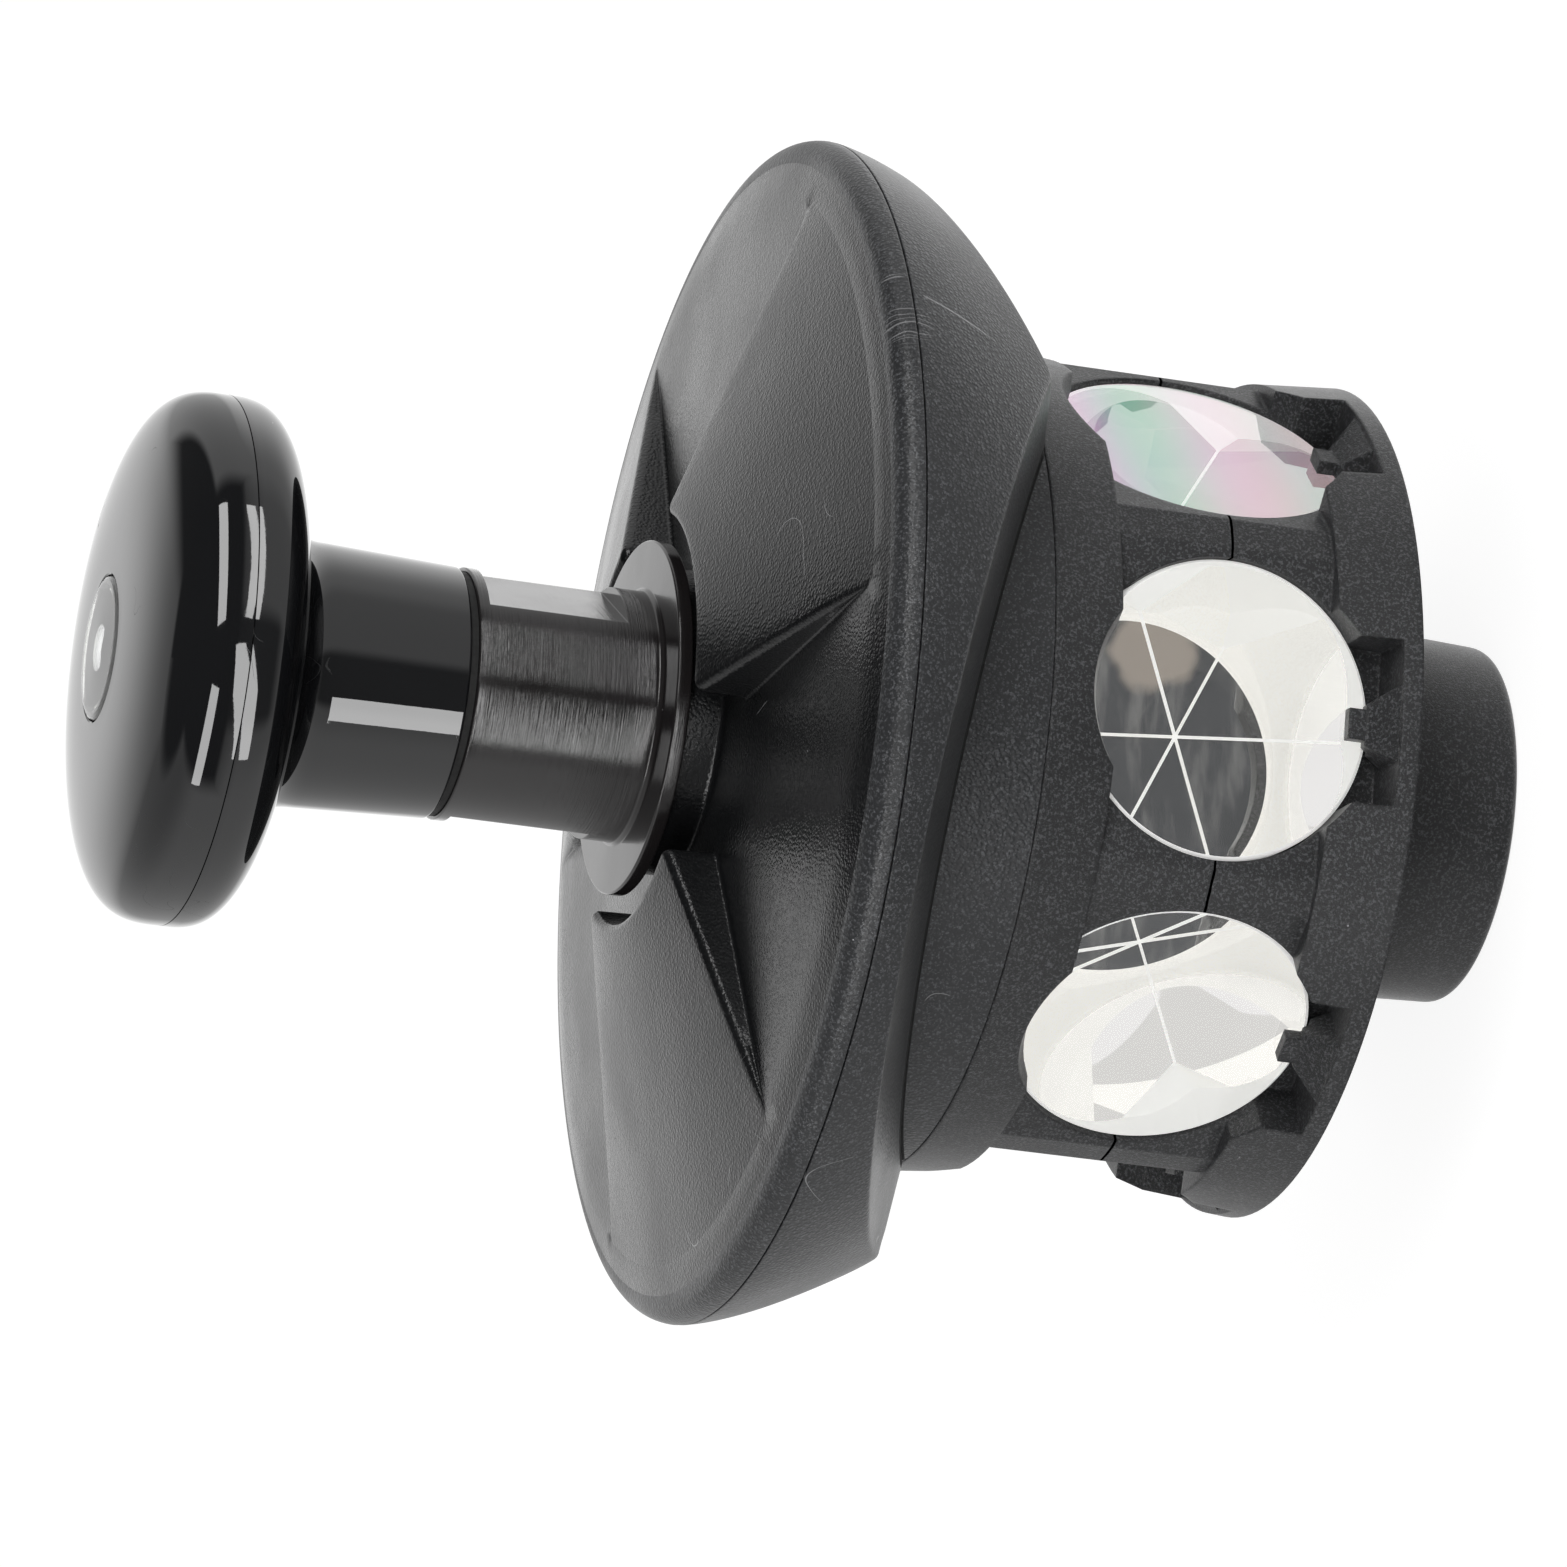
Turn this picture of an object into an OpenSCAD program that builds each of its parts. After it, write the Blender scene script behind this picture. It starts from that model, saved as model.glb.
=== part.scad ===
// Omnidirectional surveying prism: a ring of glass corner cubes under a round sighting hood,
// on a threaded socket, with a screw-on knob that carries a bull's eye level.
// Millimetres. +Z points up to the knob. The origin is the centre of the socket's end face.

/* [Prism ring] */
// Diameter of a prism's round face
prism_d = 25.4; // [24:0.1:25.6]
// Depth of a prism from its face to its apex
prism_depth = 19.4; // [18.4:0.1:19.8]
// Ground flat on each side of a prism, measured to the plane midway to its neighbour
prism_side_gap = 0.3; // [0.2:0.05:0.5]
// Glue gap round a prism's edge
prism_gap = 0.15; // [0.1:0.05:0.3]

/* [Prism frames] */
// How far the frame's flat faces stand in front of the glass
bezel_proud = 0.3; // [0.1:0.1:0.6]
// How far the rounded posts between the windows stand past the flat faces
post_out = 2.8; // [2.4:0.1:3.2]
// Thickness of the plate under the prisms
base_plate_t = 3; // [2.4:0.1:4]
// Thickness of the plate over the prisms
top_plate_t = 3; // [2.4:0.1:4]
// Thickness of the frame's wall behind its flat faces
frame_wall = 3.9; // [3.4:0.1:4.6]
// Height of the round shoulder over the windows
shoulder_h = 6; // [5:0.1:7]
// How far the shoulder's top stands past the posts
shoulder_out = 0.8; // [0.6:0.1:1.4]
// Draft of the shoulder, from top to bottom
shoulder_draft = 0.6; // [0.2:0.1:0.8]
// Clear radius of the scallop in the shoulder in front of each prism
scallop_r = 11.6; // [11:0.1:12.2]
// Extra radius of the scallop where it leaves the shoulder
scallop_flare = 1.1; // [0.6:0.1:1.4]
// How far the cap at the bottom of the frame stands past the posts
cap_out = 1.2; // [0.9:0.1:1.6]
// Height of the cap's outer band
cap_h = 7.1; // [6:0.1:8]
// Draft of the cap's band, from bottom to top
cap_draft = 0.6; // [0.2:0.1:0.8]
// Width of the pocket under each window
pocket_w = 14.2; // [12:0.1:15]
// Thickness of the rim under each pocket
pocket_floor = 1.7; // [1.2:0.1:2.2]
// Depth of each pocket behind the glass face
pocket_depth = 2.1; // [1.5:0.1:2.6]
// Width of the retaining tongue at its root
tongue_w = 6.6; // [5:0.1:8]
// Width of the retaining tongue at its tip
tongue_tip_w = 3.5; // [3:0.1:4.5]
// Width of the nub that overlaps the glass
nub_w = 2.6; // [2:0.1:3]
// How far the nub reaches over the glass
nub_overlap = 2; // [1.2:0.1:2.4]
// Thickness of the nub in front of the glass
nub_t = 1; // [0.8:0.1:1.3]

/* [Socket] */
// Length of the socket below the cap
socket_h = 16.4; // [14:0.1:20]
// Wall thickness of the socket boot at its end
boot_wall = 2.9; // [2.2:0.1:3.2]
// How far the boot widens from its end to the cap
boot_draft = 0.7; // [0.3:0.1:1.2]
// How far the boot flares out where it meets the cap
boot_flare = 1.2; // [0.8:0.1:1.6]
// Radius of the rounded end of the boot
boot_round = 1.2; // [0.6:0.1:1.5]
// Radius of the threaded bushing inside the boot
bushing_r = 12.5; // [12:0.1:13]
// Major radius of the 5/8 inch female threads
socket_thread_r = 8; // [7.99:0.01:8.05]
// Gap between the male and female threads
thread_gap = 0.06; // [0.04:0.01:0.08]
// Depth of the female thread
socket_thread_h = 14.4; // [12:0.1:14.8]

/* [Core] */
// Outer radius of the core tube
core_r = 11; // [10.6:0.1:11]
// Gap between parts that slide over each other at assembly
slip = 0.06; // [0.04:0.01:0.08]
// Length of thread screwed into each end of the core tube
core_thread_h = 13; // [10:0.5:15]
// Wall thickness of the sleeve that backs the prisms
sleeve_wall = 1.04; // [0.8:0.01:1.2]
// Gap between the core sleeve and the prisms' apexes
sleeve_gap = 0.1; // [0.05:0.05:0.2]

/* [Hood] */
// Radius of the hood at its seam
hood_r = 50.5; // [50:0.1:52]
// Height from the top of the frame to the hood's seam
lower_shell_h = 16; // [15:0.1:18]
// How far the lower shell's cone narrows down to its lobes
lobe_inset = 6.2; // [5.6:0.1:7]
// Drop from the seam to the lobes
lobe_drop = 13.8; // [13:0.1:14.4]
// Slope of the three cut faces under the hood, in degrees
cut_angle = 22.5; // [22:0.1:24.5]
// Drop from the seam to each cut face at the shells' rim
cut_drop = 2.55; // [2:0.05:2.8]
// Width of the shadow gap between a cut face and the collar
shadow_gap = 0.3; // [0.2:0.05:0.5]
// Depth of the shadow gap
shadow_depth = 1.1; // [0.8:0.1:1.4]
// Half angle that each shadow gap covers, in degrees
shadow_half = 46; // [40:1:48]
// Wall thickness of the hood shells
hood_wall = 2.5; // [2:0.1:3]
// Height from the seam to the band round the top
rim_h = 3.1; // [2.6:0.1:3.6]
// Width of the rounded rim round the top
rim_w = 2.2; // [1.8:0.1:2.8]
// Width of the flat band inside the rim
band_w = 2.9; // [2:0.1:3.6]
// Rise of the petals from the band to the hub
petal_rise = 6.7; // [6:0.1:7.2]
// Rise of the recess floors from the band to the clearing
floor_rise = 2.1; // [1.6:0.1:2.8]
// Width of the round clearing between petals and boss
clearing_w = 4.5; // [4:0.1:6]
// Distance from the axis to the point of each recess
recess_apex = 7.3; // [6.5:0.1:8]
// Half angle of each recess, in degrees
recess_half = 35.1; // [34:0.1:36]
// Radius of the boss that carries the stub's flange
boss_r = 13; // [12.6:0.1:14]
// Height of the boss over the band
boss_h = 5.9; // [5.4:0.1:6.2]
// Depth of the lip that centres the two shells
lip_h = 2; // [1.5:0.1:3]
// Wall thickness of the lip
lip_wall = 1.4; // [1:0.1:2]
// Gap between the lip and the lower shell
lip_gap = 0.4; // [0.2:0.05:0.6]
// Wall thickness of the hub tubes round the core
hub_wall = 2.94; // [2:0.02:4]
// Width of the hairline groove along a seam
seam_groove = 0.2; // [0.1:0.05:0.3]
// Radius of the screws between the lower shell and the frame
screw_r = 1.25; // [1:0.05:1.5]
// How far a screw's head stands past its shank
screw_head_w = 1.05; // [0.8:0.05:1.4]
// Height of a screw's head
screw_head_h = 1.6; // [1.2:0.1:2]
// Gap round each screw in the lower shell
screw_gap = 0.2; // [0.1:0.05:0.3]
// Radius of the screw circle
screw_pitch_r = 22.5; // [21.5:0.1:23]

/* [Stub] */
// Radius of the stub's flange
flange_r = 15.1; // [14.4:0.1:15.6]
// Thickness of the stub's flange
flange_t = 1.3; // [1:0.1:1.6]
// Radius of the foot over the flange
foot_r = 12.8; // [12:0.1:13.4]
// Radius of the stub's shank
shank_r = 10.7; // [10.4:0.1:10.9]
// Height of the shank over the flange's underside
shank_h = 17.2; // [16:0.1:19]
// Distance across the wrench flats
flats_w = 18.5; // [18:0.1:19.4]
// Length of the wrench flats
flats_h = 10.8; // [9:0.1:11.4]
// Height of the bead at the top of the shank
bead_h = 1.7; // [1.2:0.1:2]
// Length of the male thread over the shank
stud_h = 12.4; // [11:0.1:13]
// Thickness of the rubber ring under the flange
seal_t = 0.7; // [0.5:0.1:0.8]

/* [Knob] */
// Radius of the knob
knob_r = 22.4; // [21:0.1:24]
// Height of the knob over its seam
knob_top_h = 7.85; // [7:0.1:9]
// Height of the knob under its seam
knob_under_h = 6.85; // [6:0.05:9]
// Fullness of the knob's rounded profile, where 2 is an ellipse
knob_fullness = 3.2; // [2:0.05:3.6]
// Length from the neck's end to the knob's seam
neck_to_seam = 21.4; // [20:0.1:23]
// How far the neck widens up to the knob
neck_draft = 0.5; // [0.3:0.1:1]
// Length of the plain neck
neck_h = 11.6; // [10.5:0.1:12]
// Wall thickness of the knob
knob_wall = 2.2; // [1.8:0.1:2.6]
// Wall thickness of the neck at its end
neck_wall = 1.3; // [1.1:0.1:1.6]
// How far the brass insert runs up past the plain neck
insert_rise = 1.4; // [1:0.1:2]
// Width of the insert's collar
insert_head_w = 0.9; // [0.6:0.1:1.2]
// Height of the insert's collar
insert_head_h = 1.2; // [0.8:0.1:1.6]
// Thickness of the washer under the knob
washer_t = 0.6; // [0.5:0.1:0.8]
// Gap on each side of the washer
washer_gap = 0.03; // [0.02:0.01:0.05]
// Depth of the hairline groove along the knob's seam
knob_groove = 0.12; // [0.05:0.01:0.2]

/* [Bull's eye level] */
// Radius of the vial's clear body
vial_r = 6.1; // [5.6:0.1:6.4]
// Height of the vial's clear body
vial_h = 4.4; // [4:0.1:5]
// Wall thickness of the vial
vial_wall = 1.1; // [0.9:0.1:1.4]
// Radius of the bubble
bubble_r = 1.9; // [1.5:0.1:2.2]
// Depth of the bubble
bubble_h = 1.1; // [0.8:0.1:1.4]
// How far the vial stands out of the knob
vial_proud = 0.35; // [0.2:0.05:0.5]
// Thickness of the vial's white backing
backing_h = 0.4; // [0.3:0.1:0.5]
// Thickness of the plug that closes the vial
plug_h = 0.9; // [0.7:0.1:1.1]

/* [Hidden] */
$fn = 96;
far = 200;
// how far a cutter runs past the surface it cuts, and a piece into the one it joins
over = 1;

// Things that repeat round the axis
prism_count = 7;
prism_step = 360 / prism_count;
prism_first = 90;
recess_angles = [-90, 30, 150];
screw_angles = [for (i = [0:prism_count - 1]) prism_first + prism_step * (i + 0.5)];

// Radii of the prism ring, from the core outwards
prism_r = prism_d / 2;
bore_r = prism_r + prism_gap;
hole_r = core_r + slip;
sleeve_r = hole_r + sleeve_wall;
face_r = sleeve_r + sleeve_gap + prism_depth;
flat_r = face_r + bezel_proud;
hollow_r = flat_r - frame_wall;
post_r = flat_r + post_out;
shoulder_r = post_r + shoulder_out;
cap_r = post_r + cap_out;
lid_inner_r = face_r + slip;

// Radii of the hood
rim_r = hood_r - 0.4 * rim_w;
band_r = hood_r - rim_w;
petal_r = band_r - band_w;
lobe_r = hood_r - lobe_inset;
clearing_r = boss_r + clearing_w;
hub_r = hole_r + hub_wall;
lip_r = hood_r - hood_wall - lip_gap;

// Radii of the threaded pieces and the level
stud_r = socket_thread_r - thread_gap;
boot_in_r = bushing_r + slip;
boot_end_r = bushing_r + boot_wall;
boot_top_r = boot_end_r + boot_draft;
seal_r = boss_r - 1.4 * seal_t;
neck_end_r = shank_r;
neck_r = neck_end_r + neck_draft;
insert_r = neck_end_r - neck_wall;
insert_head_r = insert_r + insert_head_w;
fluid_r = vial_r - vial_wall;

// Heights, from the socket's end face up
ring_z = socket_h + base_plate_t + 2 * prism_gap + prism_r;
frame_top = ring_z + prism_r + 2 * prism_gap + top_plate_t;
shoulder_z = frame_top - shoulder_h;
cap_top = socket_h + cap_h;
seam_z = frame_top + lower_shell_h;
band_z = seam_z + rim_h;
flange_z = band_z + boss_h;
shank_top = flange_z + shank_h;
neck_z = shank_top + washer_t + 2 * washer_gap;
neck_top = neck_z + neck_h;
knob_seam_z = neck_z + neck_to_seam;
insert_top = neck_top + insert_rise;
knob_top = knob_seam_z + knob_top_h;
// the two hub tubes meet below the seam, and the core tube ends inside the upper one
hub_joint_z = seam_z - 2.2 * lip_h;
core_top = seam_z - slip;
cut_lift = hood_wall / cos(cut_angle);
vial_z = knob_top + vial_proud - vial_h;
fluid_z = vial_z + backing_h + plug_h;
fluid_h = vial_h - vial_wall - backing_h - plug_h;

function prism_angle(i) = prism_first + i * prism_step;
function mix(a, b, t) = a + (b - a) * t;
// A smooth arc of points from a to c, drawn towards b
function bend(a, b, c, steps) =
    [for (i = [0:steps]) let (t = i / steps) mix(mix(a, b, t), mix(b, c, t), t)];
// A quarter of a rounded outline with half axes r and h, from angle t0 to t1
function quarter(r, h, n, t0, t1, steps) =
    [for (i = [0:steps]) let (t = mix(t0, t1, i / steps))
        [r * pow(max(cos(t), 0), 2 / n), h * pow(max(sin(t), 0), 2 / n)]];

// Moves along the radius of prism i, so that local X points out of its face
module at_prism(i) {
    rotate([0, 0, prism_angle(i)]) translate([0, 0, ring_z]) children();
}

// A cylinder along the radius of prism i, from radius r0 out to r1
module radial_bore(i, r, r0, r1) {
    at_prism(i) translate([r0, 0, 0]) rotate([0, 90, 0]) cylinder(r = r, h = r1 - r0);
}

module ring_of(angles) {
    for (a = angles) rotate([0, 0, a]) children();
}

// The flat-sided ring that carries the windows, with rounded posts
module window_drum(z0, z1) {
    intersection() {
        translate([0, 0, z0]) cylinder(r = post_r, h = z1 - z0);
        rotate([0, 0, prism_first + prism_step / 2]) translate([0, 0, z0]) linear_extrude(z1 - z0)
            polygon([for (i = [0:prism_count - 1])
                flat_r / cos(prism_step / 2) * [cos(i * prism_step), sin(i * prism_step)]]);
    }
}

// Glass corner cube: a round rod cut by three square faces that meet at the apex
module corner_cube(i) {
    edge = 3 * prism_depth;
    side = prism_step / 2;
    color([0.86, 0.9, 0.92]) intersection() {
        at_prism(i) translate([face_r - prism_depth, 0, 0]) rotate([0, 90, 0])
            cylinder(r = prism_r, h = prism_depth);
        at_prism(i) translate([face_r - prism_depth, 0, 0]) rotate([0, atan(1 / sqrt(2)), 0])
            rotate([0, 0, -45]) cube(edge);
        // neighbouring prisms are ground flat where they would meet
        at_prism(i) translate([prism_side_gap / sin(side), 0, -far / 2]) linear_extrude(far)
            polygon([[0, 0], far * [cos(side), -sin(side)], far * [cos(side), sin(side)]]);
    }
}
module prism_1() { corner_cube(0); }
module prism_2() { corner_cube(1); }
module prism_3() { corner_cube(2); }
module prism_4() { corner_cube(3); }
module prism_5() { corner_cube(4); }
module prism_6() { corner_cube(5); }
module prism_7() { corner_cube(6); }

// Upper half of the prism frame: half windows under a round shoulder with a scallop over each
module upper_frame() {
    scallop_mid_r = mix(lid_inner_r, shoulder_r, 0.4);
    color([0.17, 0.17, 0.18]) difference() {
        union() {
            window_drum(ring_z, frame_top - over);
            translate([0, 0, shoulder_z])
                cylinder(r1 = shoulder_r - shoulder_draft, r2 = shoulder_r, h = shoulder_h);
        }
        // hollow behind the windows
        translate([0, 0, ring_z - over])
            cylinder(r = hollow_r, h = frame_top - top_plate_t - ring_z + over);
        translate([0, 0, frame_top - top_plate_t - over]) cylinder(r = hole_r, h = top_plate_t + 2 * over);
        for (i = [0:prism_count - 1]) {
            radial_bore(i, bore_r, 0.7 * hollow_r, lid_inner_r);
            // below the shoulder the window opens straight out
            intersection() {
                radial_bore(i, bore_r, lid_inner_r - over, face_r + prism_r);
                translate([0, 0, shoulder_z - far]) cylinder(r = far, h = far);
            }
            // the scallop starts straight and flares outwards through the shoulder
            radial_bore(i, scallop_r, lid_inner_r - over, scallop_mid_r + slip);
            at_prism(i) translate([scallop_mid_r, 0, 0]) rotate([0, 90, 0])
                cylinder(r1 = scallop_r, r2 = scallop_r + scallop_flare, h = cap_r - scallop_mid_r);
        }
        // holes for the screws that hold the lower shell
        ring_of(screw_angles) translate([screw_pitch_r, 0, frame_top - top_plate_t - over])
            cylinder(r = screw_r + thread_gap / 2, h = top_plate_t + 2 * over);
    }
}

// Lower half of the prism frame, with its cap, pockets and the tongues that hold the glass
module lower_frame() {
    pocket_z = socket_h + pocket_floor;
    nub_back = lid_inner_r;
    nub_front = nub_back + nub_t;
    nub_top = ring_z - prism_r + nub_overlap;
    tongue_top = ring_z - prism_r + nub_overlap / 4;
    tongue_back = face_r - 0.6 * nub_t;
    root_r = cap_r - cap_draft;
    color([0.17, 0.17, 0.18]) {
        difference() {
            union() {
                window_drum(cap_top - over, ring_z);
                translate([0, 0, socket_h]) cylinder(r1 = cap_r, r2 = cap_r - cap_draft, h = cap_h);
            }
            translate([0, 0, socket_h + base_plate_t]) cylinder(r = hollow_r, h = ring_z);
            translate([0, 0, socket_h - over]) cylinder(r = hole_r, h = base_plate_t + 2 * over);
            for (i = [0:prism_count - 1]) {
                radial_bore(i, bore_r, 0.7 * hollow_r, face_r + prism_r);
                // pocket that leaves the tongue free
                rotate([0, 0, prism_angle(i)])
                    translate([face_r - pocket_depth, -pocket_w / 2, pocket_z])
                        cube([prism_r, pocket_w, ring_z - prism_r - pocket_z + prism_r / 4]);
            }
        }
        for (i = [0:prism_count - 1]) rotate([0, 0, prism_angle(i)]) {
            // sloped tongue, wide at its root
            intersection() {
                rotate([90, 0, 0]) translate([0, 0, -tongue_w / 2]) linear_extrude(tongue_w)
                    polygon([[tongue_back, pocket_z - over / 2], [root_r, pocket_z - over / 2],
                        [root_r, pocket_z], [nub_front, tongue_top], [nub_back, tongue_top],
                        [nub_back, ring_z - prism_r - prism_gap],
                        [tongue_back, ring_z - prism_r - prism_gap]]);
                translate([tongue_back - over, 0, 0]) rotate([90, 0, 90])
                    linear_extrude(root_r - tongue_back + 2 * over)
                        polygon([[-tongue_w / 2, pocket_z - over], [tongue_w / 2, pocket_z - over],
                            [tongue_w / 2, pocket_z], [tongue_tip_w / 2, tongue_top],
                            [-tongue_tip_w / 2, tongue_top], [-tongue_w / 2, pocket_z]]);
            }
            // nub in front of the glass
            translate([nub_back, -nub_w / 2, tongue_top - over])
                cube([nub_t + prism_gap, nub_w, nub_top - tongue_top + over]);
        }
    }
}

// The tube that ties the stub, the frames and the socket together
module core_tube() {
    color([0.62, 0.63, 0.65]) difference() {
        translate([0, 0, socket_h]) cylinder(r = core_r, h = core_top - socket_h);
        translate([0, 0, socket_h - over]) cylinder(r = socket_thread_r, h = core_top - socket_h + 2 * over);
    }
}

// Soft sleeve on the core tube that backs the prisms
module core_sleeve() {
    z0 = socket_h + base_plate_t + slip;
    z1 = frame_top - top_plate_t - slip;
    color([0.08, 0.08, 0.08]) translate([0, 0, z0]) difference() {
        cylinder(r = sleeve_r, h = z1 - z0);
        translate([0, 0, -over]) cylinder(r = hole_r, h = z1 - z0 + 2 * over);
    }
}

// Threaded bushing that takes the pole, with a stud up into the core tube
module base_bushing() {
    mouth = socket_thread_r / 10;
    color([0.72, 0.6, 0.36]) difference() {
        union() {
            cylinder(r = bushing_r, h = socket_h);
            cylinder(r = stud_r, h = socket_h + core_thread_h);
        }
        translate([0, 0, -over]) cylinder(r = socket_thread_r, h = socket_thread_h + over);
        // chamfered mouth
        cylinder(r1 = socket_thread_r + mouth, r2 = socket_thread_r, h = mouth);
    }
}

// Moulded boot round the bushing
module socket_boot() {
    side_r = boot_end_r + boot_round * boot_draft / socket_h;
    outline = concat([[boot_in_r, 0]],
        bend([boot_end_r - boot_round, 0], [boot_end_r, 0], [side_r, boot_round], 6),
        bend([boot_top_r, socket_h - boot_flare], [boot_top_r, socket_h],
            [boot_top_r + boot_flare, socket_h], 6),
        [[boot_in_r, socket_h]]);
    color([0.14, 0.14, 0.15]) rotate_extrude() polygon(outline);
}

// Outline of the lower shell's cone, slightly full near the seam
function shell_cone(inset) = bend([lobe_r - inset, seam_z - lobe_drop],
    [rim_r - inset, seam_z - 0.36 * lobe_drop], [hood_r - inset, seam_z], 8);

// Everything below one sloped cut face, raised by lift
module below_cut(lift) {
    ring_of(recess_angles) translate([rim_r, 0, seam_z - cut_drop + lift])
        rotate([0, -cut_angle, 0]) translate([-far, -far / 2, -far]) cube([1.5 * far, far, far]);
}

// Height of a cut face's middle at radius r
function cut_z(r) = seam_z - cut_drop - (rim_r - r) * tan(cut_angle);

// Three arcs of a ring over the collar, as wide as the shadow gaps
module shadow_ring(h) {
    ring_of(recess_angles) rotate([0, 0, -shadow_half]) rotate_extrude(angle = 2 * shadow_half)
        translate([shoulder_r - over, frame_top + over]) square([over + shadow_gap, h]);
}

// The hood's cone from the cut faces up to top, with its wall moved in by inset
module lower_cone(inset, lift, top) {
    outline = concat([[0, 0], [lobe_r - over - inset, 0]], shell_cone(inset),
        [[hood_r - inset, top], [0, top]]);
    difference() {
        rotate_extrude() polygon(outline);
        below_cut(lift);
    }
}

// Lower half of the hood: a cone cut away under each recess, with a collar on the frame
module lower_shell() {
    collar_h = cut_z(shoulder_r) + cut_lift / 2 - frame_top;
    color([0.15, 0.15, 0.16]) {
        difference() {
            union() {
                difference() {
                    lower_cone(0, 0, seam_z);
                    // dark gap between each cut face and the collar
                    intersection() {
                        shadow_ring(collar_h);
                        below_cut(shadow_depth);
                    }
                }
                translate([0, 0, frame_top]) cylinder(r = shoulder_r, h = collar_h);
            }
            intersection() {
                lower_cone(hood_wall, cut_lift, seam_z + over);
                translate([0, 0, frame_top + hood_wall]) cylinder(r = far, h = far);
            }
            translate([0, 0, frame_top + hood_wall]) cylinder(r = shoulder_r - hood_wall, h = far);
            translate([0, 0, frame_top - far]) cylinder(r = lobe_r - over, h = far);
            translate([0, 0, frame_top - over]) cylinder(r = hole_r, h = far);
            ring_of(screw_angles) translate([screw_pitch_r, 0, frame_top - over])
                cylinder(r = screw_r + screw_gap, h = hood_wall + 2 * over);
            // hairline groove along the seam
            translate([0, 0, seam_z - seam_groove]) difference() {
                cylinder(r = hood_r + over, h = over);
                translate([0, 0, -over]) cylinder(r = hood_r - seam_groove, h = 3 * over);
            }
        }
        // hub tube that meets the top shell
        translate([0, 0, frame_top + hood_wall / 2]) difference() {
            cylinder(r = hub_r, h = hub_joint_z - frame_top - hood_wall / 2);
            translate([0, 0, -over]) cylinder(r = hole_r, h = far);
        }
    }
}

// Height of the recess floor at radius r
function floor_z(r) = band_z + floor_rise * (petal_r - r) / (petal_r - clearing_r);

// The three recesses between the petals, each a wedge with its point near the axis
module recesses(grow) {
    ring_of(recess_angles) translate([recess_apex - grow / sin(recess_half), 0, frame_top])
        linear_extrude(far) polygon([[0, 0], far * [cos(recess_half), -sin(recess_half)],
            far * [cos(recess_half), sin(recess_half)]]);
}

// The petals as solid sectors of a shallow cone, lowered by drop and narrowed by grow
module petals(drop, grow) {
    difference() {
        rotate_extrude() polygon([[clearing_r + drop, floor_z(clearing_r) - over - drop],
            [clearing_r + drop, band_z + petal_rise - drop], [petal_r - drop, band_z - drop],
            [petal_r - drop, band_z - over - drop]]);
        recesses(grow);
    }
}

// Upper half of the hood: a dished disc with three raised petals round the hub
module top_shell() {
    rim = bend([hood_r, seam_z + seam_groove], [hood_r - 0.1, band_z - 0.4 * rim_w],
        [band_r, band_z - 0.3 * rim_w], 8);
    outer = concat([[hole_r, hub_joint_z], [hub_r, hub_joint_z], [hub_r, seam_z],
        [hood_r - seam_groove, seam_z]], rim,
        [[petal_r, band_z], [boss_r, floor_z(boss_r)], [boss_r, flange_z], [hole_r, flange_z]]);
    hub_roof = floor_z(hub_r) - hood_wall;
    hollow = [[hub_r, seam_z - over], [lip_r, seam_z - over], [lip_r, seam_z + lip_wall / 2],
        [petal_r, band_z - hood_wall], [hub_r + over, hub_roof], [hub_r, hub_roof - over]];
    color([0.15, 0.15, 0.16]) {
        difference() {
            union() {
                rotate_extrude() polygon(outer);
                petals(0, 0);
            }
            rotate_extrude() polygon(hollow);
            petals(hood_wall, hood_wall);
        }
        // lip that centres the lower shell, clear of the cut faces
        difference() {
            translate([0, 0, seam_z - lip_h]) cylinder(r = lip_r, h = lip_h + lip_wall);
            translate([0, 0, seam_z - 2 * lip_h]) cylinder(r = lip_r - lip_wall, h = far);
            below_cut(cut_lift + lip_gap);
        }
    }
}

// Screws down through the lower shell's floor into the frame, between the prisms
module frame_screws() {
    head_r = screw_r + screw_head_w;
    head_low = frame_top + hood_wall + slip;
    tip = frame_top - 0.9 * top_plate_t;
    color([0.75, 0.76, 0.78]) ring_of(screw_angles) translate([screw_pitch_r, 0, 0]) {
        difference() {
            translate([0, 0, head_low]) cylinder(r = head_r, h = screw_head_h);
            // hexagon drive
            translate([0, 0, head_low + screw_head_h / 2])
                cylinder(r = head_r / 2, h = screw_head_h, $fn = 6);
        }
        translate([0, 0, tip]) cylinder(r = screw_r, h = head_low - tip);
    }
}

// Rubber ring in a groove under the stub's flange
module flange_seal() {
    color([0.06, 0.06, 0.06]) translate([0, 0, flange_z + seal_t / 2]) rotate_extrude()
        translate([seal_r, 0]) circle(r = seal_t / 2, $fn = 24);
}

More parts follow.
